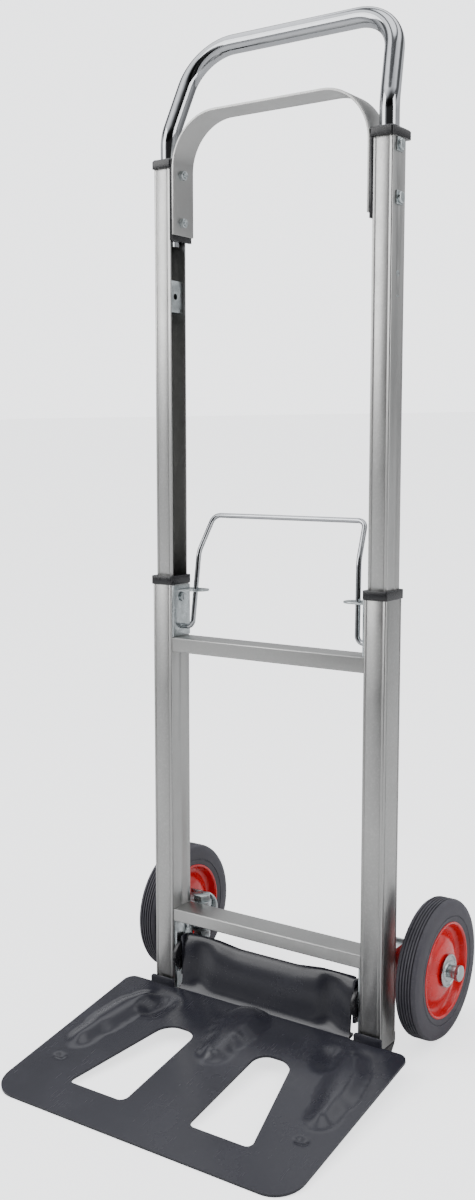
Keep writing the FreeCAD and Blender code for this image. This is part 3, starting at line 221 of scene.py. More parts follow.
def rounded(thing, width, segments, degrees):
    """Rounds the edges that are sharper than the angle."""
    modify(thing, "BEVEL", width=width, segments=segments, limit_method="ANGLE",
           angle_limit=math.radians(degrees), use_clamp_overlap=True)


def finish_piece(thing, body, slot, material, *nodes, stand=True, smooth=35):
    """Stands a piece on the truck's lean, smooths it, gives it its material, puts it in its body and hides the
    parts it replaces.
    """
    activate(thing)
    if stand:
        thing.matrix_world = STAND
        bpy.ops.object.transform_apply(location=True, rotation=True, scale=True)
    bpy.ops.object.shade_smooth_by_angle(angle=math.radians(smooth))
    thing.data.materials.clear()
    thing.data.materials.append(material)
    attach(thing, body)
    if nodes:
        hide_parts(*nodes)
    return thing


def joined(piece, others):
    """Adds other shapes to a piece."""
    activate(piece)
    for other in others:
        other.select_set(True)
    bpy.ops.object.join()


def mirrored(thing, name):
    """A copy of a piece on the other side of the truck, with its own mesh."""
    activate(thing)
    bpy.ops.object.duplicate()
    copy = bpy.context.object
    copy.name = name
    copy.data.name = name
    copy.scale = (-1, 1, 1)
    bpy.ops.object.transform_apply(location=True, rotation=True, scale=True)
    bpy.ops.object.mode_set(mode="EDIT")
    bpy.ops.mesh.select_all(action="SELECT")
    bpy.ops.mesh.normals_make_consistent(inside=False)
    bpy.ops.object.mode_set(mode="OBJECT")
    return copy


def softened(node, width):
    """A merged copy of a plain part, with its sharp edges rounded to catch the light."""
    clear()
    copy = NODES[node].copy()
    copy.data = NODES[node].data.copy()
    for key in [key for key in copy.keys() if key.startswith("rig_")]:
        del copy[key]
    copy.parent = None
    bpy.context.scene.collection.objects.link(copy)
    copy.name = "fine_" + node
    copy.data.name = copy.name
    activate(copy)
    bpy.ops.object.mode_set(mode="EDIT")
    bpy.ops.mesh.select_all(action="SELECT")
    bpy.ops.mesh.remove_doubles(threshold=CAD_TOUCH)
    bpy.ops.mesh.dissolve_limited(angle_limit=math.radians(1.0))
    bpy.ops.object.mode_set(mode="OBJECT")
    rounded(copy, width, 2, 40)
    return copy


# ---- finishes --------------------------------------------------------------------------------
NODE_PITCH = 180                    # spacing of nodes in the shader editor
FLOAT = "NodeSocketFloat"
VECTOR = "NodeSocketVector"


class Nodes:
    """Adds shader nodes to a tree from left to right."""

    def __init__(self, tree):
        self.tree = tree
        self.count = 0

    def add(self, kind, **settings):
        node = self.tree.nodes.new(kind)
        node.location = (NODE_PITCH * self.count, 0)
        self.count += 1
        for key, value in settings.items():
            setattr(node, key, value)
        return node

    def link(self, source, target):
        self.tree.links.new(source, target)

    def feed(self, socket, item):
        """Links a socket to an input, or gives the input a plain value."""
        if hasattr(item, "links"):
            self.link(item, socket)
        else:
            socket.default_value = item

    def noise(self, vector, scale, detail, roughness=0.55):
        node = self.add("ShaderNodeTexNoise")
        for key, item in (("Vector", vector), ("Scale", scale), ("Detail", detail),
                          ("Roughness", roughness)):
            self.feed(node.inputs[key], item)
        return node.outputs["Fac"]

    def mapped(self, vector, scale=(1, 1, 1), turn=(0, 0, 0)):
        node = self.add("ShaderNodeMapping")
        for key, item in (("Vector", vector), ("Scale", scale), ("Rotation", turn)):
            self.feed(node.inputs[key], item)
        return node.outputs["Vector"]

    def span(self, value, low, high, bottom, top):
        """Maps low..high of a value onto bottom..top."""
        node = self.add("ShaderNodeMapRange")
        for key, item in (("Value", value), ("From Min", low), ("From Max", high),
                          ("To Min", bottom), ("To Max", top)):
            self.feed(node.inputs[key], item)
        return node.outputs["Result"]

    def math(self, operation, first, second):
        node = self.add("ShaderNodeMath", operation=operation)
        self.feed(node.inputs[0], first)
        self.feed(node.inputs[1], second)
        return node.outputs[0]

    def times(self, first, second):
        return self.math("MULTIPLY", first, second)

    def plus(self, first, second):
        return self.math("ADD", first, second)

    def mixed(self, factor, first, second):
        """Blends two colours; each is a socket or four numbers."""
        node = self.add("ShaderNodeMix", data_type="RGBA")
        factor_in, first_in, second_in, colour_out = 0, 6, 7, 2
        self.link(factor, node.inputs[factor_in])
        self.feed(node.inputs[first_in], first)
        self.feed(node.inputs[second_in], second)
        return node.outputs[colour_out]

    def bumped(self, height, strength, distance, under=None):
        """A bumped normal, on top of another one where it is given."""
        node = self.add("ShaderNodeBump")
        node.inputs["Strength"].default_value = strength
        node.inputs["Distance"].default_value = distance
        self.link(height, node.inputs["Height"])
        if under is not None:
            self.link(under, node.inputs["Normal"])
        return node.outputs["Normal"]


def new_group(name, inputs, outputs):
    """A shader node group with named sockets: (name, kind, default) in, (name, kind) out."""
    group = bpy.data.node_groups.new(name, "ShaderNodeTree")
    for label, kind, value in inputs:
        socket = group.interface.new_socket(name=label, in_out="INPUT", socket_type=kind)
        if value is not None:
            socket.default_value = value
    for label, kind in outputs:
        group.interface.new_socket(name=label, in_out="OUTPUT", socket_type=kind)
    nodes = Nodes(group)
    given = nodes.add("NodeGroupInput").outputs
    out = nodes.add("NodeGroupOutput").inputs
    return group, nodes, given, out


def make_drawn_grain():
    """Fine lines along the rails, as an extrusion or a brush leaves them."""
    group, nodes, given, out = new_group(
        "Drawn grain", (("Vector", VECTOR, None), ("Strength", FLOAT, 0.1)),
        (("Height", FLOAT), ("Shade", FLOAT)))
    along = nodes.mapped(given["Vector"], (1.0, 1.0, 0.012), (-LEAN, 0, 0))
    fine = nodes.noise(along, 2600.0, 3.0)
    broad = nodes.noise(along, 420.0, 4.0)
    both = nodes.plus(nodes.times(fine, 0.6), nodes.times(broad, 0.4))
    nodes.link(both, out["Height"])
    low = nodes.math("SUBTRACT", 1.0, given["Strength"])
    nodes.link(nodes.span(both, 0.35, 0.65, low, 1.0), out["Shade"])
    return group


def make_patches():
    """Soft uneven patches, such as handling marks and dull spots."""
    group, nodes, given, out = new_group(
        "Patches", (("Vector", VECTOR, None), ("Size", FLOAT, 30.0), ("Low", FLOAT, 0.3),
                    ("High", FLOAT, 0.5)), (("Value", FLOAT), ("Mask", FLOAT)))
    cloud = nodes.noise(given["Vector"], given["Size"], 6.0, 0.62)
    nodes.link(nodes.span(cloud, 0.3, 0.7, given["Low"], given["High"]), out["Value"])
    nodes.link(nodes.span(cloud, 0.45, 0.7, 0.0, 1.0), out["Mask"])
    return group


def make_scuffs():
    """Thin scratches that run in many directions, broken up by patches."""
    group, nodes, given, out = new_group(
        "Scuffs", (("Vector", VECTOR, None), ("Size", FLOAT, 60.0)), (("Mask", FLOAT),))
    fineness = nodes.times(given["Size"], 9.0)
    lines = []
    for turn, narrow in ((0.35, 0.05), (1.2, 0.04), (2.3, 0.06)):
        drawn = nodes.mapped(given["Vector"], (1.0, narrow, 1.0), (0.2, 0.1, turn))
        lines.append(nodes.span(nodes.noise(drawn, fineness, 2.0, 0.5), 0.66, 0.72, 0.0, 1.0))
    total = lines[0]
    for line in lines[1:]:
        total = nodes.math("MAXIMUM", total, line)
    patch = nodes.span(nodes.noise(given["Vector"], 22.0, 3.0), 0.45, 0.62, 0.0, 1.0)
    nodes.link(nodes.times(total, patch), out["Mask"])
    return group


def make_edge_wear():
    """Rubbed edges: a mask that follows sharp corners, broken by noise."""
    group, nodes, given, out = new_group(
        "Edge wear", (("Vector", VECTOR, None), ("Spread", FLOAT, 0.0)), (("Mask", FLOAT),))
    geometry = nodes.add("ShaderNodeNewGeometry")
    crest = nodes.span(geometry.outputs["Pointiness"], 0.52, 0.60, 0.0, 1.0)
    broken = nodes.noise(given["Vector"], 380.0, 5.0)
    limit = nodes.math("SUBTRACT", 0.62, given["Spread"])
    nodes.link(nodes.times(crest, nodes.span(broken, limit, 0.75, 0.0, 1.0)), out["Mask"])
    return group


GROUP_MAKERS = {"Drawn grain": make_drawn_grain, "Patches": make_patches,
                "Scuffs": make_scuffs, "Edge wear": make_edge_wear}
GROUPS = {}


def use(nodes, name, vector, **values):
    """Places a shader group in a material and sets its own values."""
    if name not in GROUPS:
        GROUPS[name] = GROUP_MAKERS[name]()
    node = nodes.add("ShaderNodeGroup", node_tree=GROUPS[name])
    nodes.link(vector, node.inputs["Vector"])
    for key, value in values.items():
        node.inputs[key].default_value = value
    return node.outputs


def shade_of(base, factor, lift=0.0):
    """A darker, lighter or paler version of a colour."""
    return tuple(min(1.0, part * factor + lift) for part in base[:3]) + (1.0,)


def start_material(name, base, metallic):
    """A material with its shader's inputs and a place vector, ready for its own detail."""
    material = bpy.data.materials.new(name)
    material.use_nodes = True
    material.diffuse_color = base
    material.node_tree.nodes.clear()
    nodes = Nodes(material.node_tree)
    place = nodes.add("ShaderNodeTexCoord").outputs["Object"]
    shader = nodes.add("ShaderNodeBsdfPrincipled")
    shader.inputs["Metallic"].default_value = metallic
    out = nodes.add("ShaderNodeOutputMaterial")
    nodes.link(shader.outputs["BSDF"], out.inputs["Surface"])
    return material, nodes, place, shader.inputs


def satin_aluminium(name, base, across=False):
    """Anodised extrusion: fine drawn lines, soft patches and rubbed edges."""
    material, nodes, place, shader = start_material(name, base, 1.0)
    lines = nodes.mapped(place, turn=(0, math.pi / 2, 0)) if across else place
    grain = use(nodes, "Drawn grain", lines, Strength=0.09)
    patches = use(nodes, "Patches", place, Size=18.0, Low=0.30, High=0.42)
    wear = use(nodes, "Edge wear", place, Spread=0.15)
    scuffs = use(nodes, "Scuffs", place, Size=40.0)
    tone = nodes.mixed(grain["Shade"], shade_of(base, 0.80), base)
    tone = nodes.mixed(nodes.times(patches["Mask"], 0.35), tone, shade_of(base, 0.88))
    nodes.link(nodes.mixed(wear["Mask"], tone, shade_of(base, 1.25)), shader["Base Color"])
    nodes.link(nodes.plus(patches["Value"], nodes.times(scuffs["Mask"], 0.08)),
               shader["Roughness"])
    nodes.link(nodes.bumped(grain["Height"], 0.10, 0.0002), shader["Normal"])
    return material


def zinc_plate(name, base):
    """Bright zinc: cloudy, slightly blue, with fine pits."""
    material, nodes, place, shader = start_material(name, base, 1.0)
    clouds = use(nodes, "Patches", place, Size=110.0, Low=0.20, High=0.42)
    wear = use(nodes, "Edge wear", place, Spread=0.1)
    tone = nodes.mixed(clouds["Mask"], base, shade_of(base, 0.74))
    nodes.link(nodes.mixed(wear["Mask"], tone, shade_of(base, 1.2)), shader["Base Color"])
    nodes.link(clouds["Value"], shader["Roughness"])
    pits = nodes.noise(place, 900.0, 4.0)
    nodes.link(nodes.bumped(pits, 0.05, 0.0003), shader["Normal"])
    return material


def chrome_plate(name, base):
    """Polished chrome with faint smears and a slightly uneven tube beneath."""
    material, nodes, place, shader = start_material(name, base, 1.0)
    smears = use(nodes, "Patches", place, Size=55.0, Low=0.045, High=0.12)
    scuffs = use(nodes, "Scuffs", place, Size=70.0)
    nodes.link(nodes.mixed(smears["Mask"], base, shade_of(base, 0.93)), shader["Base Color"])
    nodes.link(nodes.plus(smears["Value"], nodes.times(scuffs["Mask"], 0.10)),
               shader["Roughness"])
    waves = nodes.noise(place, 45.0, 2.0)
    nodes.link(nodes.bumped(waves, 0.06, 0.002), shader["Normal"])
    return material


def powder_coat(name, base):
    """Satin black coat on pressed sheet: orange peel, dusty patches, scratches, rubbed edges."""
    material, nodes, place, shader = start_material(name, base, 0.0)
    scratch, bare = (0.10, 0.10, 0.11, 1), (0.20, 0.20, 0.21, 1)
    dust = use(nodes, "Patches", place, Size=11.0, Low=0.20, High=0.31)
    scuffs = use(nodes, "Scuffs", place, Size=45.0)
    wear = use(nodes, "Edge wear", place, Spread=0.05)
    tone = nodes.mixed(nodes.times(dust["Mask"], 0.7), base, shade_of(base, 1.25, 0.003))
    tone = nodes.mixed(nodes.times(scuffs["Mask"], 0.10), tone, scratch)
    nodes.link(nodes.mixed(nodes.times(wear["Mask"], 0.3), tone, bare), shader["Base Color"])
    nodes.link(nodes.plus(dust["Value"], nodes.times(scuffs["Mask"], 0.06)),
               shader["Roughness"])
    shader["Coat Weight"].default_value = 0.06
    shader["Coat Roughness"].default_value = 0.25
    shader["Specular IOR Level"].default_value = 0.37
    peel = nodes.bumped(nodes.noise(place, 1100.0, 2.0), 0.06, 0.0004)
    dents = nodes.noise(place, 16.0, 1.0)
    nodes.link(nodes.bumped(dents, 0.05, 0.003, peel), shader["Normal"])
    return material


def gloss_enamel(name, base):
    """Glossy sprayed enamel, with slight orange peel, road dust and chipped edges."""
    material, nodes, place, shader = start_material(name, base, 0.0)
    chipped = (0.70, 0.16, 0.14, 1)
    dust = use(nodes, "Patches", place, Size=26.0, Low=0.16, High=0.34)
    wear = use(nodes, "Edge wear", place, Spread=0.0)
    tone = nodes.mixed(nodes.times(dust["Mask"], 0.5), base, shade_of(base, 0.62))
    nodes.link(nodes.mixed(nodes.times(wear["Mask"], 0.5), tone, chipped), shader["Base Color"])
    nodes.link(dust["Value"], shader["Roughness"])
    shader["Coat Weight"].default_value = 0.25
    shader["Coat Roughness"].default_value = 0.08
    peel = nodes.noise(place, 240.0, 2.0)
    nodes.link(nodes.bumped(peel, 0.10, 0.0006), shader["Normal"])
    return material


def moulded(name, base, fineness, sheen, dust_and_sheen):
    """Moulded plastic or rubber: fine grain, lighter patches that are partly dust and partly a painted sheen, and
    dull or shiny patches.
    """
    material, nodes, place, shader = start_material(name, base, 0.0)
    dust = use(nodes, "Patches", place, Size=34.0, Low=sheen[0], High=sheen[1])
    wear = use(nodes, "Edge wear", place, Spread=0.12)
    # Lighter patches are partly dust and partly a painted sheen; rubbed edges take 2.5 times the same lift.
    tone = nodes.mixed(dust["Mask"], base, shade_of(base, 1.0, dust_and_sheen))
    nodes.link(nodes.mixed(wear["Mask"], tone, shade_of(base, 1.0, 2.5 * dust_and_sheen)),
               shader["Base Color"])
    nodes.link(dust["Value"], shader["Roughness"])
    grain = nodes.noise(place, fineness, 3.0)
    nodes.link(nodes.bumped(grain, 0.25, 0.0004), shader["Normal"])
    return material


MATERIALS = {}


def make_finishes():
    """Makes each finish once, from the colours a user may change."""
    paints = bpy.context.scene.truck_colours

    def paint(name):
        return tuple(getattr(paints, name))

    MATERIALS.update({
        "satin_aluminium": satin_aluminium("Satin aluminium", paint("aluminium")),
        "aluminium_across": satin_aluminium("Satin aluminium across", paint("aluminium"), True),
        "zinc_steel": zinc_plate("Zinc plate", paint("zinc")),
        "chrome": chrome_plate("Chrome plate", paint("chrome")),
        "black_steel": powder_coat("Black powder coat", paint("plate")),
        "red_enamel": gloss_enamel("Red enamel", paint("enamel")),
        # The last number of each moulded finish lifts its lighter patches: partly dust, partly a painted sheen.
        "black_plastic": moulded("Black plastic", paint("plastic"), 1500.0, (0.18, 0.34), 0.005),
        "nylon": moulded("Natural nylon", paint("nylon"), 700.0, (0.35, 0.50), 0.03),
        "tyre_rubber": moulded("Tyre rubber", paint("rubber"), 1300.0, (0.50, 0.72), 0.020),
    })


# ---- handle, strap and bail ------------------------------------------------------------------
MAST_MID_Y = 0.0196                 # middle of the mast's depth, in the rails' frame
GRIP = {"bottom": 0.897, "bend": 1.020, "rise": 0.103, "lean": 21.6, "taper": 0.013,
        "low_bend": 0.050, "top_bend": 0.054}
STRAP = {"back": 0.0034, "foot": 0.909, "top": 1.0405, "width": 0.038, "bend": 0.057}
BAIL_FOOT = (0.0185, 0.456)         # y and z of the wire's ends
BAIL_RUNS = ((0.1115, 0, 0), (0.1077, 0.0085, 0.089), (0.1024, 0.0325, 0.131))
BAIL_BENDS = (0.008, 0.030, 0.010)


def ring(name, at, radius, turn, count=36):
    """A filled ring of vertices that a tube or wire grows from."""
    clear()
    bpy.ops.mesh.primitive_circle_add(vertices=count, radius=radius, fill_type="NGON",
                                      location=at, rotation=turn)
    return begin(name)


class TruckHandle(bpy.types.Operator):
    """Chromed handle: one tube up each side, leaning back to a straight grip."""
    bl_idname = "truck.handle"
    bl_label = "Handle"

    def execute(self, context):
        radius = sizes().handle_radius
        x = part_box("handle")[1].x - radius
        top_x = x - GRIP["taper"]
        back = MAST_MID_Y + GRIP["rise"] * math.tan(math.radians(GRIP["lean"]))
        top = GRIP["bend"] + GRIP["rise"]
        route = [(-x, MAST_MID_Y, GRIP["bottom"]), (-x, MAST_MID_Y, GRIP["bend"]),
                 (-top_x, back, top), (top_x, back, top),
                 (x, MAST_MID_Y, GRIP["bend"]), (x, MAST_MID_Y, GRIP["bottom"])]
        bends = (GRIP["low_bend"], GRIP["top_bend"], GRIP["top_bend"], GRIP["low_bend"])
        tube = ring("handle_tube", route[0], radius, (0, 0, 0))
        swept(route, bends, 14)
        tidy_shell()
        bpy.ops.object.mode_set(mode="OBJECT")
        finish_piece(tube, "mast", "chrome", MATERIALS["chrome"], "handle", smooth=50)
        return {"FINISHED"}


class TruckStrap(bpy.types.Operator):
    """Flat aluminium strap, arched between the mast's caps under the grip."""
    bl_idname = "truck.strap"
    bl_label = "Strap"

    def execute(self, context):
        half = sizes().strap_thickness / 2
        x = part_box("handle_strap")[1].x - half
        y = MAST_MID_Y + STRAP["back"]
        foot, top = STRAP["foot"], STRAP["top"] - half
        clear()
        bpy.ops.mesh.primitive_plane_add(size=1, location=(-x, y, foot))
        bpy.context.object.scale = (2 * half, STRAP["width"], 1)
        band = begin("strap_band")
        route = [(-x, y, foot), (-x, y, top), (x, y, top), (x, y, foot)]
        swept(route, (STRAP["bend"], STRAP["bend"]), 24)
        tidy_shell()
        bpy.ops.object.mode_set(mode="OBJECT")
        rounded(band, 0.0006, 3, 50)
        finish_piece(band, "mast", "satin_aluminium", MATERIALS["aluminium_across"],
                     "handle_strap")
        return {"FINISHED"}


class TruckBail(bpy.types.Operator):
    """Sprung wire bail that locks the mast, with its hand bar leaning back."""
    bl_idname = "truck.bail"
    bl_label = "Release bail"

    def execute(self, context):
        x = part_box("release_bail")[1].x
        y, z = BAIL_FOOT
        half = [(x, y, z)] + [(px, y + back, z + rise) for px, back, rise in BAIL_RUNS]
        route = half + [(-px, py, pz) for px, py, pz in reversed(half)]
        wire = ring("bail_wire", route[0], sizes().bail_radius, (0, math.pi / 2, 0), 20)
        swept(route, BAIL_BENDS + BAIL_BENDS[::-1], 10)
        tidy_shell()
        bpy.ops.object.mode_set(mode="OBJECT")
        rounded(wire, 0.0005, 2, 60)
        finish_piece(wire, "bail", "chrome", MATERIALS["chrome"], "release_bail", smooth=50)
        return {"FINISHED"}


# ---- wheels ----------------------------------------------------------------------------------
# Profiles are (along the axle from the wheel's middle, radius) in millimetres.
TYRE = {"radius": 80.0, "half": 14.0, "grooves": 5, "tread": 17.0, "groove_top": 0.9,
        "groove_foot": 0.55}
TYRE_SIDE = ((1.6, 54.6), (0.4, 58.0), (0.2, 60.6), (0.9, 61.2), (0.9, 61.8), (0.1, 62.4),
             (0.0, 70.0), (0.5, 74.6), (1.9, 77.8), (4.2, 79.5))      # along is from the side
RIM_SIDE = ((13.0, 54.7), (13.5, 54.0), (13.5, 53.0), (12.8, 52.0), (11.0, 51.3), (6.0, 50.6),
            (3.2, 49.4), (1.6, 47.2), (1.3, 44.2), (2.2, 41.4), (4.8, 38.8), (7.9, 35.2),
            (10.2, 30.2), (11.6, 24.6), (12.4, 19.5), (12.6, 10.6))
OUTER_WASHER = ((15.2, 6.4), (15.2, 18.6), (15.8, 18.9), (16.5, 18.5), (16.8, 17.6),
                (16.5, 16.8), (15.45, 16.2), (15.4, 12.2), (15.9, 11.5), (16.8, 10.9),
                (16.8, 6.4))
INNER_WASHER = ((-18.4, 6.4), (-18.4, 11.4), (-18.0, 12.0), (-17.2, 12.0), (-16.8, 11.4),
                (-16.8, 6.4))


def wheel_centre():
    """The right wheel's middle, in the rails' frame."""
    return STAND.inverted() @ Vector(JOINTS["wheel_spin_right"]["pos_m"])


def wheel_pair(piece, stem, body, slot, node, smooth=35):
    """Finishes a piece of the right wheel, and its copy on the left one."""
    finish_piece(piece, body + "_right", slot, MATERIALS[slot], node + "_right", smooth=smooth)
    other = mirrored(piece, stem + "_left")
    finish_piece(other, body + "_left", slot, MATERIALS[slot], node + "_left", stand=False,
                 smooth=smooth)


class TruckTyres(bpy.types.Operator):
    """Solid rubber tyres with round shoulders and grooves round the tread."""
    bl_idname = "truck.tyres"
    bl_label = "Tyres"

    def execute(self, context):
        half, outer = TYRE["half"], TYRE["radius"]
        deep = outer - sizes().groove_depth / MM
        side = [(-half + inward, radius) for inward, radius in TYRE_SIDE]
        pitch = TYRE["tread"] / TYRE["grooves"]
        top, foot = TYRE["groove_top"], TYRE["groove_foot"]
        tread = []
        for index in range(TYRE["grooves"]):
            middle = -TYRE["tread"] / 2 + pitch * (index + 0.5)
            tread += [(middle - top, outer), (middle - foot, deep), (middle + foot, deep),
                      (middle + top, outer)]
        profile = side + tread + [(-along, radius) for along, radius in reversed(side)]
        tyre = turned("tyre_rubber_right", profile, wheel_centre(), 144)
        wheel_pair(tyre, "tyre_rubber", "wheel", "tyre_rubber", "tyre", smooth=28)
        return {"FINISHED"}


class TruckRims(bpy.types.Operator):
    """Dished red rims, each two pressed halves round a bossed hub."""
    bl_idname = "truck.rims"
    bl_label = "Rims"

    def execute(self, context):
        outside = list(RIM_SIDE)
        inside = [(-along, radius) for along, radius in reversed(outside)]
        rim = turned("rim_red_right", outside + inside, wheel_centre(), 96)
        wheel_pair(rim, "rim_red", "wheel", "red_enamel", "rim", smooth=50)
        return {"FINISHED"}


class TruckHubWashers(bpy.types.Operator):
    """Dished zinc washers that hold each wheel on its axle."""
    bl_idname = "truck.hub_washers"
    bl_label = "Hub washers"

    def execute(self, context):
        washers = turned("hub_washers_right", OUTER_WASHER, wheel_centre(), 72)
        inner = turned("inner_washer", INNER_WASHER, wheel_centre(), 72)
        joined(washers, [inner])
        wheel_pair(washers, "hub_washers", "bracket", "zinc_steel", "axle_washers")
        return {"FINISHED"}


# ---- toe plate -------------------------------------------------------------------------------
# Places on the flat plate are (x, distance forward of the crease) in millimetres. A pressing is a
# list of runs (start, end, half width), with its height and how much its sides are eased.
PLATE = {"half": 194.0, "front": 253.7, "back": 4.0, "tail": 8.0, "slope": 9.8, "lift": 0.014,
         "cell": 2.4}
PLATE_CORNERS = (12, 32, 32, 12, 2, 1, 1, 2)
WINDOW = ((42, 69), (42, 206), (121, 206), (86, 69))
WINDOW_CORNERS = (17, 9, 9, 17)
RIB = (((161, 136), (157, 100), 10), ((157, 100), (150, 60), 15), ((150, 60), (142, 42), 12))
DISH = (((120, 52), (114, 38), 12),)
PRESS_MARK = (((157, 174), (163, 174), 3),)
SIDE_PRESSINGS = ((RIB, 8.0, 20), (DISH, -6.5, 18), (PRESS_MARK, -2.4, 1))
TONGUE = (((-3, 92), (-6, 60), 14), ((-6, 60), (-8, 40), 19), ((-8, 40), (-8, 30), 24))
FLANK = (1.3, 1.1, 0.9, 0.7)        # shares of the half width at which a pressing steps up
EASED = 10                          # how far past a pressing its sides are eased
CUTTER = 0.02                       # half height of the cutting blocks
FLANGE_HALF = 118.0
FLANGE_STEPS = 59
FLANGE = ((-7.5, 9.6), (-3.6, 12.6), (-0.6, 15.6), (1.0, 19.4), (1.7, 25.0), (2.2, 33.0),
          (2.9, 42.0), (4.0, 51.0), (5.6, 59.5), (7.6, 67.0), (10.2, 73.0), (13.4, 77.0),
          (17.2, 79.0))             # y and z of the sheet's front
# The flange keeps its crease below its foot. Near each end it has a hollow, pressed in two steps
# between two distances from the middle, and its top dips to the middle in steps of these reaches.
FOOT = 0.0165
HOLLOW = {"steps": ((76, 104), (82, 98)), "low": 0.017, "high": 0.072, "depth": 0.0021}
DIP = {"reaches": (0.068, 0.060, 0.052, 0.044), "low": 0.058, "depth": 0.0010}
EASED_FLANGE = {"high": 0.074, "reach": 0.112}
EAR = {"radius": 0.025, "thick": 0.003, "x": 0.1195, "face": 0.1209, "cut": 0.005,
       "rings": (0.004, 0.003), "sunk": 0.0008}
LIP = {"x": 0.1425, "y": -0.0037, "z": 0.017, "size": (0.035, 0.003, 0.011), "top": 0.0224,
       "side": 0.017}


def near_run(at, start, end):
    """Distance in millimetres from a point of the flat plate to a run between two places."""
    place = Vector((at.x / MM, -at.y / MM))
    first, last = Vector(start), Vector(end)
    run = last - first
    share = max(0.0, min(1.0, (place - first).dot(run) / run.length_squared))
    return (place - first - run * share).length


def press(runs, height, soften):
    """Presses one dimple or rib into the flat plate in small steps, then eases its sides."""
    def within(at, scale, extra):
        return any(near_run(at, start, end) < reach * scale + extra
                   for start, end, reach in runs)

    for share in FLANK:
        choose("VERT", lambda at: within(at, share, 0))
        bpy.ops.transform.translate(value=(0, 0, height / len(FLANK) * MM))
    choose("VERT", lambda at: within(at, 1, EASED))
    bpy.ops.mesh.vertices_smooth(factor=0.5, repeat=soften)


def to_side(side, runs):
    """The same runs on the left or right half of the plate."""
    return [((side * x1, u1), (side * x2, u2), reach) for (x1, u1), (x2, u2), reach in runs]


def cutter(name, corners, radii):
    """A tall block on a flat outline with rounded corners."""
    thing = chain(name, [(x * MM, -u * MM, -CUTTER) for x, u in corners], True)
    bpy.ops.mesh.edge_face_add()
    for (x, u), radius in zip(corners, radii):
        corner = Vector((x * MM, -u * MM, -CUTTER))
        choose("VERT", lambda at: (at - corner).length < NEAR)
        bpy.ops.mesh.bevel(offset=radius * MM, segments=10, affect="VERTICES")
    bpy.ops.mesh.select_all(action="SELECT")
    extrude((0, 0, 2 * CUTTER))
    tidy_shell()
    bpy.ops.object.mode_set(mode="OBJECT")
    return thing


def combine(thing, block, operation):
    modify(thing, "BOOLEAN", object=block, operation=operation, solver="EXACT")
    bpy.data.objects.remove(block)


def plate_outline():
    """The plate's corners, with the narrower tail under the flange."""
    half, front, back, tail = PLATE["half"], PLATE["front"], PLATE["back"], PLATE["tail"]
    return [(-half, back), (-half, front), (half, front), (half, back), (FLANGE_HALF, back),
            (FLANGE_HALF, -tail), (-FLANGE_HALF, -tail), (-FLANGE_HALF, back)]


def pressed_plate():
    """The flat part: a fine grid pressed into shape, thickened, then cut to its outline."""
    clear()
    deep = PLATE["front"] + PLATE["tail"]
    middle = -(PLATE["front"] - PLATE["tail"]) / 2
    bpy.ops.mesh.primitive_grid_add(x_subdivisions=round(2 * PLATE["half"] / PLATE["cell"]),
                                    y_subdivisions=round(deep / PLATE["cell"]), size=1,
                                    location=(0, middle * MM, 0))
    bpy.context.object.scale = (2 * PLATE["half"] * MM, deep * MM, 1)
    plate = begin("toe_sheet")
    for side in SIDES:
        for runs, height, soften in SIDE_PRESSINGS:
            press(to_side(side, runs), height, soften)
    press(TONGUE, 9.0, 6)
    bpy.ops.object.mode_set(mode="OBJECT")
    modify(plate, "SOLIDIFY", thickness=sizes().sheet, offset=-1.0)
    combine(plate, cutter("outline", plate_outline(), PLATE_CORNERS), "INTERSECT")
    for side in SIDES:
        window = [(side * x, u) for x, u in WINDOW]
        combine(plate, cutter("window", window, WINDOW_CORNERS), "DIFFERENCE")
    activate(plate)
    plate.matrix_world = (Matrix.Translation((0, 0, PLATE["lift"]))
                          @ Matrix.Rotation(math.radians(PLATE["slope"]), 4, "X"))
    bpy.ops.object.transform_apply(location=True, rotation=True, scale=True)
    return plate


def rolled_flange():
    """The upright part: a sheet that rises from the plate and rolls back over its hinge pins."""
    sheet = chain("toe_flange", [(-FLANGE_HALF * MM, y * MM, z * MM) for y, z in FLANGE], False)
    for _ in range(FLANGE_STEPS):
        extrude((2 * FLANGE_HALF * MM / FLANGE_STEPS, 0, 0))
    for inner, outer in HOLLOW["steps"]:
        choose("VERT", lambda at: (inner < abs(at.x) / MM < outer
                                   and HOLLOW["low"] < at.z < HOLLOW["high"]))
        bpy.ops.transform.translate(value=(0, HOLLOW["depth"], 0))
    for reach in DIP["reaches"]:
        choose("VERT", lambda at: abs(at.x) < reach and at.z > DIP["low"])
        bpy.ops.transform.translate(value=(0, 0, -DIP["depth"]))
    choose("VERT", lambda at: at.z > FOOT)
    bpy.ops.mesh.vertices_smooth(factor=0.5, repeat=2)
    choose("VERT", lambda at: (FOOT < at.z < EASED_FLANGE["high"]
                               and abs(at.x) < EASED_FLANGE["reach"]))
    bpy.ops.mesh.vertices_smooth(factor=0.5, repeat=3)
    bpy.ops.mesh.select_all(action="SELECT")
    bpy.ops.mesh.normals_make_consistent(inside=False)
    bpy.ops.object.mode_set(mode="OBJECT")
    front = sum(face.normal.y for face in sheet.data.polygons) < 0
    modify(sheet, "SOLIDIFY", thickness=sizes().sheet, offset=-1.0 if front else 1.0)
    return sheet


def hinge_ear():
    """A round ear at the flange's right end that turns on its pin."""
    clear()
    bpy.ops.mesh.primitive_cylinder_add(vertices=64, radius=EAR["radius"], depth=EAR["thick"],
                                        rotation=(0, math.pi / 2, 0),
                                        location=(EAR["x"], *TOE_AXIS))
    ear = begin("toe_ear")
    choose("FACE", lambda at: at.x > EAR["face"])
    for width in EAR["rings"]:
        bpy.ops.mesh.inset(thickness=width)
    bpy.ops.transform.translate(value=(-EAR["sunk"], 0, 0))
    bpy.ops.mesh.select_all(action="SELECT")
    bpy.ops.mesh.bisect(plane_co=(0, EAR["cut"], 0), plane_no=(0, 1, 0), clear_inner=True,
                        use_fill=True)
    bpy.ops.object.mode_set(mode="OBJECT")
    return ear


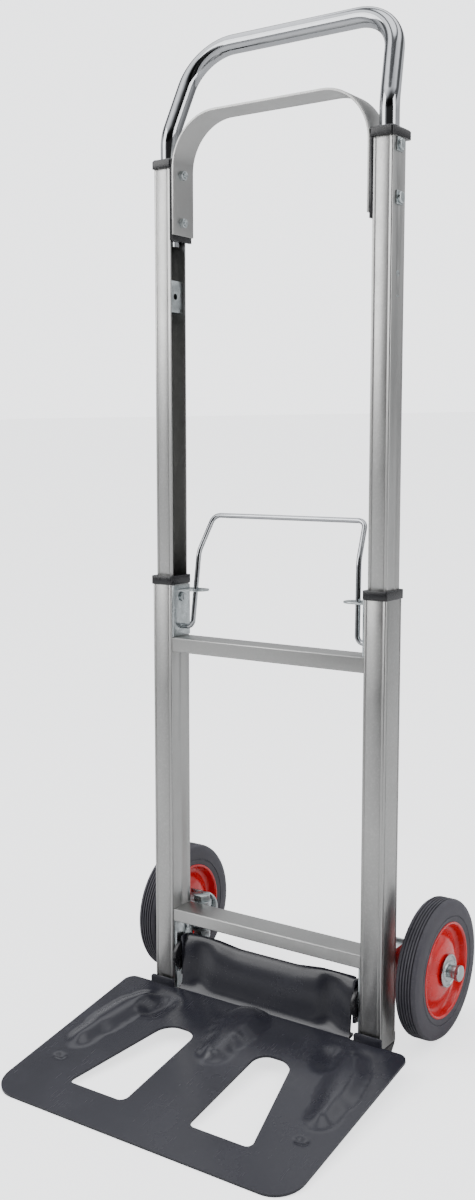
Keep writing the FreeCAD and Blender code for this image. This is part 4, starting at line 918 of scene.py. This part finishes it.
def rail_lip():
    """A short upright lip on the plate in front of the right rail's foot."""
    clear()
    bpy.ops.mesh.primitive_cube_add(size=1, location=(LIP["x"], LIP["y"], LIP["z"]))
    bpy.context.object.scale = LIP["size"]
    lip = begin("toe_lip")
    choose("EDGE", lambda at: abs(at.x - LIP["x"]) > LIP["side"] and at.z > LIP["top"])
    bpy.ops.mesh.bevel(offset=0.003, segments=4)
    bpy.ops.object.mode_set(mode="OBJECT")
    return lip


class TruckToePlate(bpy.types.Operator):
    """Pressed steel toe plate with two windows, a raised tongue and a rolled flange."""
    bl_idname = "truck.toe_plate"
    bl_label = "Toe plate"

    def execute(self, context):
        plate = pressed_plate()
        others = [rolled_flange()]
        for part in (hinge_ear(), rail_lip()):
            rounded(part, 0.0005, 2, 50)
            others += [part, mirrored(part, part.name + "_left")]
        joined(plate, others)
        finish_piece(plate, "toe", "black_steel", MATERIALS["black_steel"], "toe_plate",
                     smooth=40)
        return {"FINISHED"}


# ---- plain parts -----------------------------------------------------------------------------
HANDMADE = {"handle", "handle_strap", "release_bail", "toe_plate", "tyre_left", "tyre_right",
            "rim_left", "rim_right", "axle_washers_left", "axle_washers_right"}
EDGE_WIDTHS = {"lower_rail": 0.0005, "mast_rail": 0.0004, "upper_crossbar": 0.0012,
               "lower_crossbar": 0.0012, "collar": 0.0008, "mast_cap": 0.0010,
               "foot_plug": 0.0010}


def node_slot(node):
    """The record's material slot for a node."""
    parts = frame["record"]["subparts"]
    return next(part["material_slot"] for part in parts if part["node"] == node)


def node_body(node):
    """The body that a node belongs to."""
    groups = frame["record"]["behaviour"]["bodies"]
    return next(body for body, members in groups.items() if node in members)


class TruckPlainParts(bpy.types.Operator):
    """Rails, crossbars, caps, brackets and fixings, with their edges rounded."""
    bl_idname = "truck.plain_parts"
    bl_label = "Rails, brackets and fixings"

    def execute(self, context):
        for node in sorted(set(NODES) - HANDMADE):
            slot = node_slot(node)
            stem = node.removesuffix("_left").removesuffix("_right")
            material = MATERIALS["aluminium_across" if stem.endswith("crossbar") else slot]
            piece = softened(node, EDGE_WIDTHS.get(stem, sizes().edge))
            finish_piece(piece, node_body(node), slot, material, node, stand=False, smooth=38)
        return {"FINISHED"}


# ---- studio ----------------------------------------------------------------------------------
CAMERA_AT = (0.788, -1.0998, 0.7824)
CAMERA_FORWARD = (-0.5597, 0.8065, -0.1904)
CAMERA_RIGHT = (0.8259, 0.5617, -0.0485)
CAMERA_LENS = {"lens": 38.6, "sensor_width": 36, "sensor_fit": "AUTO", "shift_x": -0.002}
SOFTBOXES = (("key", (-1.9, -2.0, 2.2), 1.8, 2.2, 54.0),
             ("fill", (2.8, -0.2, 1.5), 1.2, 2.4, 36.0))
AIM = (0, 0, 0.5)                   # the middle of the truck, which the lights face
STUDIO_WHITE = (0.97, 0.98, 1.0, 1)
SEEN_LIGHT = 2.9                    # how bright the surround looks behind the truck
DIM_SIDE = (0.62, -0.78, 0.05)      # the side on which the studio is unlit
SKY_BANDS = ((0.34, 0.42, 0.60, 0.70), (0.86, 0.89, 0.93, 0.96))
BAND_LIGHT = 0.12


def softbox(name, place, width, height, watts):
    """One soft rectangular light that faces the truck."""
    clear()
    bpy.ops.object.light_add(type="AREA", location=place)
    lamp = bpy.context.object
    lamp.name = name
    lamp.data.shape = "RECTANGLE"
    lamp.data.size = width
    lamp.data.size_y = height
    lamp.data.energy = watts
    lamp.rotation_euler = (Vector(AIM) - Vector(place)).to_track_quat("-Z", "Y").to_euler()


def floor_finish():
    """Matt white paper that glows to the eye only, so that it meets the surround unseen."""
    material, nodes, place, shader = start_material("Pale floor", (0.75, 0.75, 0.75, 1), 0.0)
    patches = use(nodes, "Patches", place, Size=2.0, Low=0.80, High=0.90)
    nodes.link(nodes.mixed(patches["Mask"], (0.76, 0.76, 0.76, 1), (0.74, 0.74, 0.745, 1)),
               shader["Base Color"])
    nodes.link(patches["Value"], shader["Roughness"])
    shader["Specular IOR Level"].default_value = 0.0
    shader["Emission Strength"].default_value = 1.75
    seen = nodes.add("ShaderNodeLightPath").outputs["Is Camera Ray"]
    nodes.link(nodes.mixed(seen, (0, 0, 0, 1), STUDIO_WHITE), shader["Emission Color"])
    return material


def studio_surround(context):
    """A white surround, dim on one side and with two dim bands, as in a small studio."""
    world = bpy.data.worlds.new("Studio surround")
    world.use_nodes = True
    world.node_tree.nodes.clear()
    nodes = Nodes(world.node_tree)
    way = nodes.add("ShaderNodeTexCoord").outputs["Generated"]
    facing = nodes.add("ShaderNodeVectorMath", operation="DOT_PRODUCT")
    nodes.link(way, facing.inputs[0])
    facing.inputs[1].default_value = DIM_SIDE
    dim = nodes.span(facing.outputs["Value"], 0.25, 0.72, 1.0, 0.04)
    split = nodes.add("ShaderNodeSeparateXYZ")
    nodes.link(way, split.inputs[0])
    height = split.outputs["Z"]
    light = nodes.span(height, 0.0, 0.95, 0.34, 2.9)
    for fading, faded, returning, returned in SKY_BANDS:
        under = nodes.span(height, fading, faded, 1.0, BAND_LIGHT)
        above = nodes.span(height, returning, returned, BAND_LIGHT, 1.0)
        light = nodes.times(light, nodes.math("MAXIMUM", under, above))
    seen = nodes.add("ShaderNodeLightPath").outputs["Is Camera Ray"]
    shown = nodes.span(seen, 0.0, 1.0, nodes.times(dim, light), SEEN_LIGHT)
    background = nodes.add("ShaderNodeBackground")
    background.inputs["Color"].default_value = STUDIO_WHITE
    nodes.link(shown, background.inputs["Strength"])
    out = nodes.add("ShaderNodeOutputWorld")
    nodes.link(background.outputs[0], out.inputs["Surface"])
    context.scene.world = world


def studio_camera(context):
    """The camera, in front of the truck to its right and a little above the crossbars."""
    clear()
    bpy.ops.object.camera_add(location=CAMERA_AT)
    camera = context.object
    camera.name = "studio_camera"
    forward = Vector(CAMERA_FORWARD).normalized()
    right = Vector(CAMERA_RIGHT).normalized()
    up = right.cross(forward).normalized()
    camera.rotation_euler = Matrix((right, up, -forward)).transposed().to_euler()
    for key, value in CAMERA_LENS.items():
        setattr(camera.data, key, value)
    bpy.context.scene.camera = camera


class TruckStage(bpy.types.Operator):
    """Pale floor, soft studio lights, a white surround and the camera."""
    bl_idname = "truck.stage"
    bl_label = "Studio"

    def execute(self, context):
        clear()
        bpy.ops.mesh.primitive_grid_add(x_subdivisions=8, y_subdivisions=8, size=24,
                                        location=(0, 0, 0))
        floor = begin("studio_floor")
        bpy.ops.object.mode_set(mode="OBJECT")
        floor.data.materials.append(floor_finish())
        for box in SOFTBOXES:
            softbox(*box)
        studio_surround(context)
        studio_camera(context)
        return {"FINISHED"}


class TruckPanel(bpy.types.Panel):
    """Lists the truck's pieces, sizes and colours."""
    bl_idname = "VIEW3D_PT_truck"
    bl_label = "Hand truck"
    bl_space_type = "VIEW_3D"
    bl_region_type = "UI"
    bl_category = "Hand truck"

    def draw(self, context):
        for operator in BUILDERS:
            self.layout.operator(operator.bl_idname)
        for group in (context.scene.truck_sizes, context.scene.truck_colours):
            for name in group.__annotations__:
                self.layout.prop(group, name)


BUILDERS = (TruckHandle, TruckStrap, TruckBail, TruckTyres, TruckRims, TruckHubWashers,
            TruckToePlate, TruckPlainParts, TruckStage)
CLASSES = (TruckSizes, TruckColours) + BUILDERS + (TruckPanel,)


def register():
    for cls in CLASSES:
        bpy.utils.register_class(cls)
    bpy.types.Scene.truck_sizes = bpy.props.PointerProperty(type=TruckSizes)
    bpy.types.Scene.truck_colours = bpy.props.PointerProperty(type=TruckColours)


def unregister():
    del bpy.types.Scene.truck_colours
    del bpy.types.Scene.truck_sizes
    for cls in reversed(CLASSES):
        bpy.utils.unregister_class(cls)


def main():
    """Builds everything in order."""
    register()
    make_finishes()
    for builder in BUILDERS:
        group, name = builder.bl_idname.split(".")
        getattr(getattr(bpy.ops, group), name)()


if __name__ == "__main__":
    main()
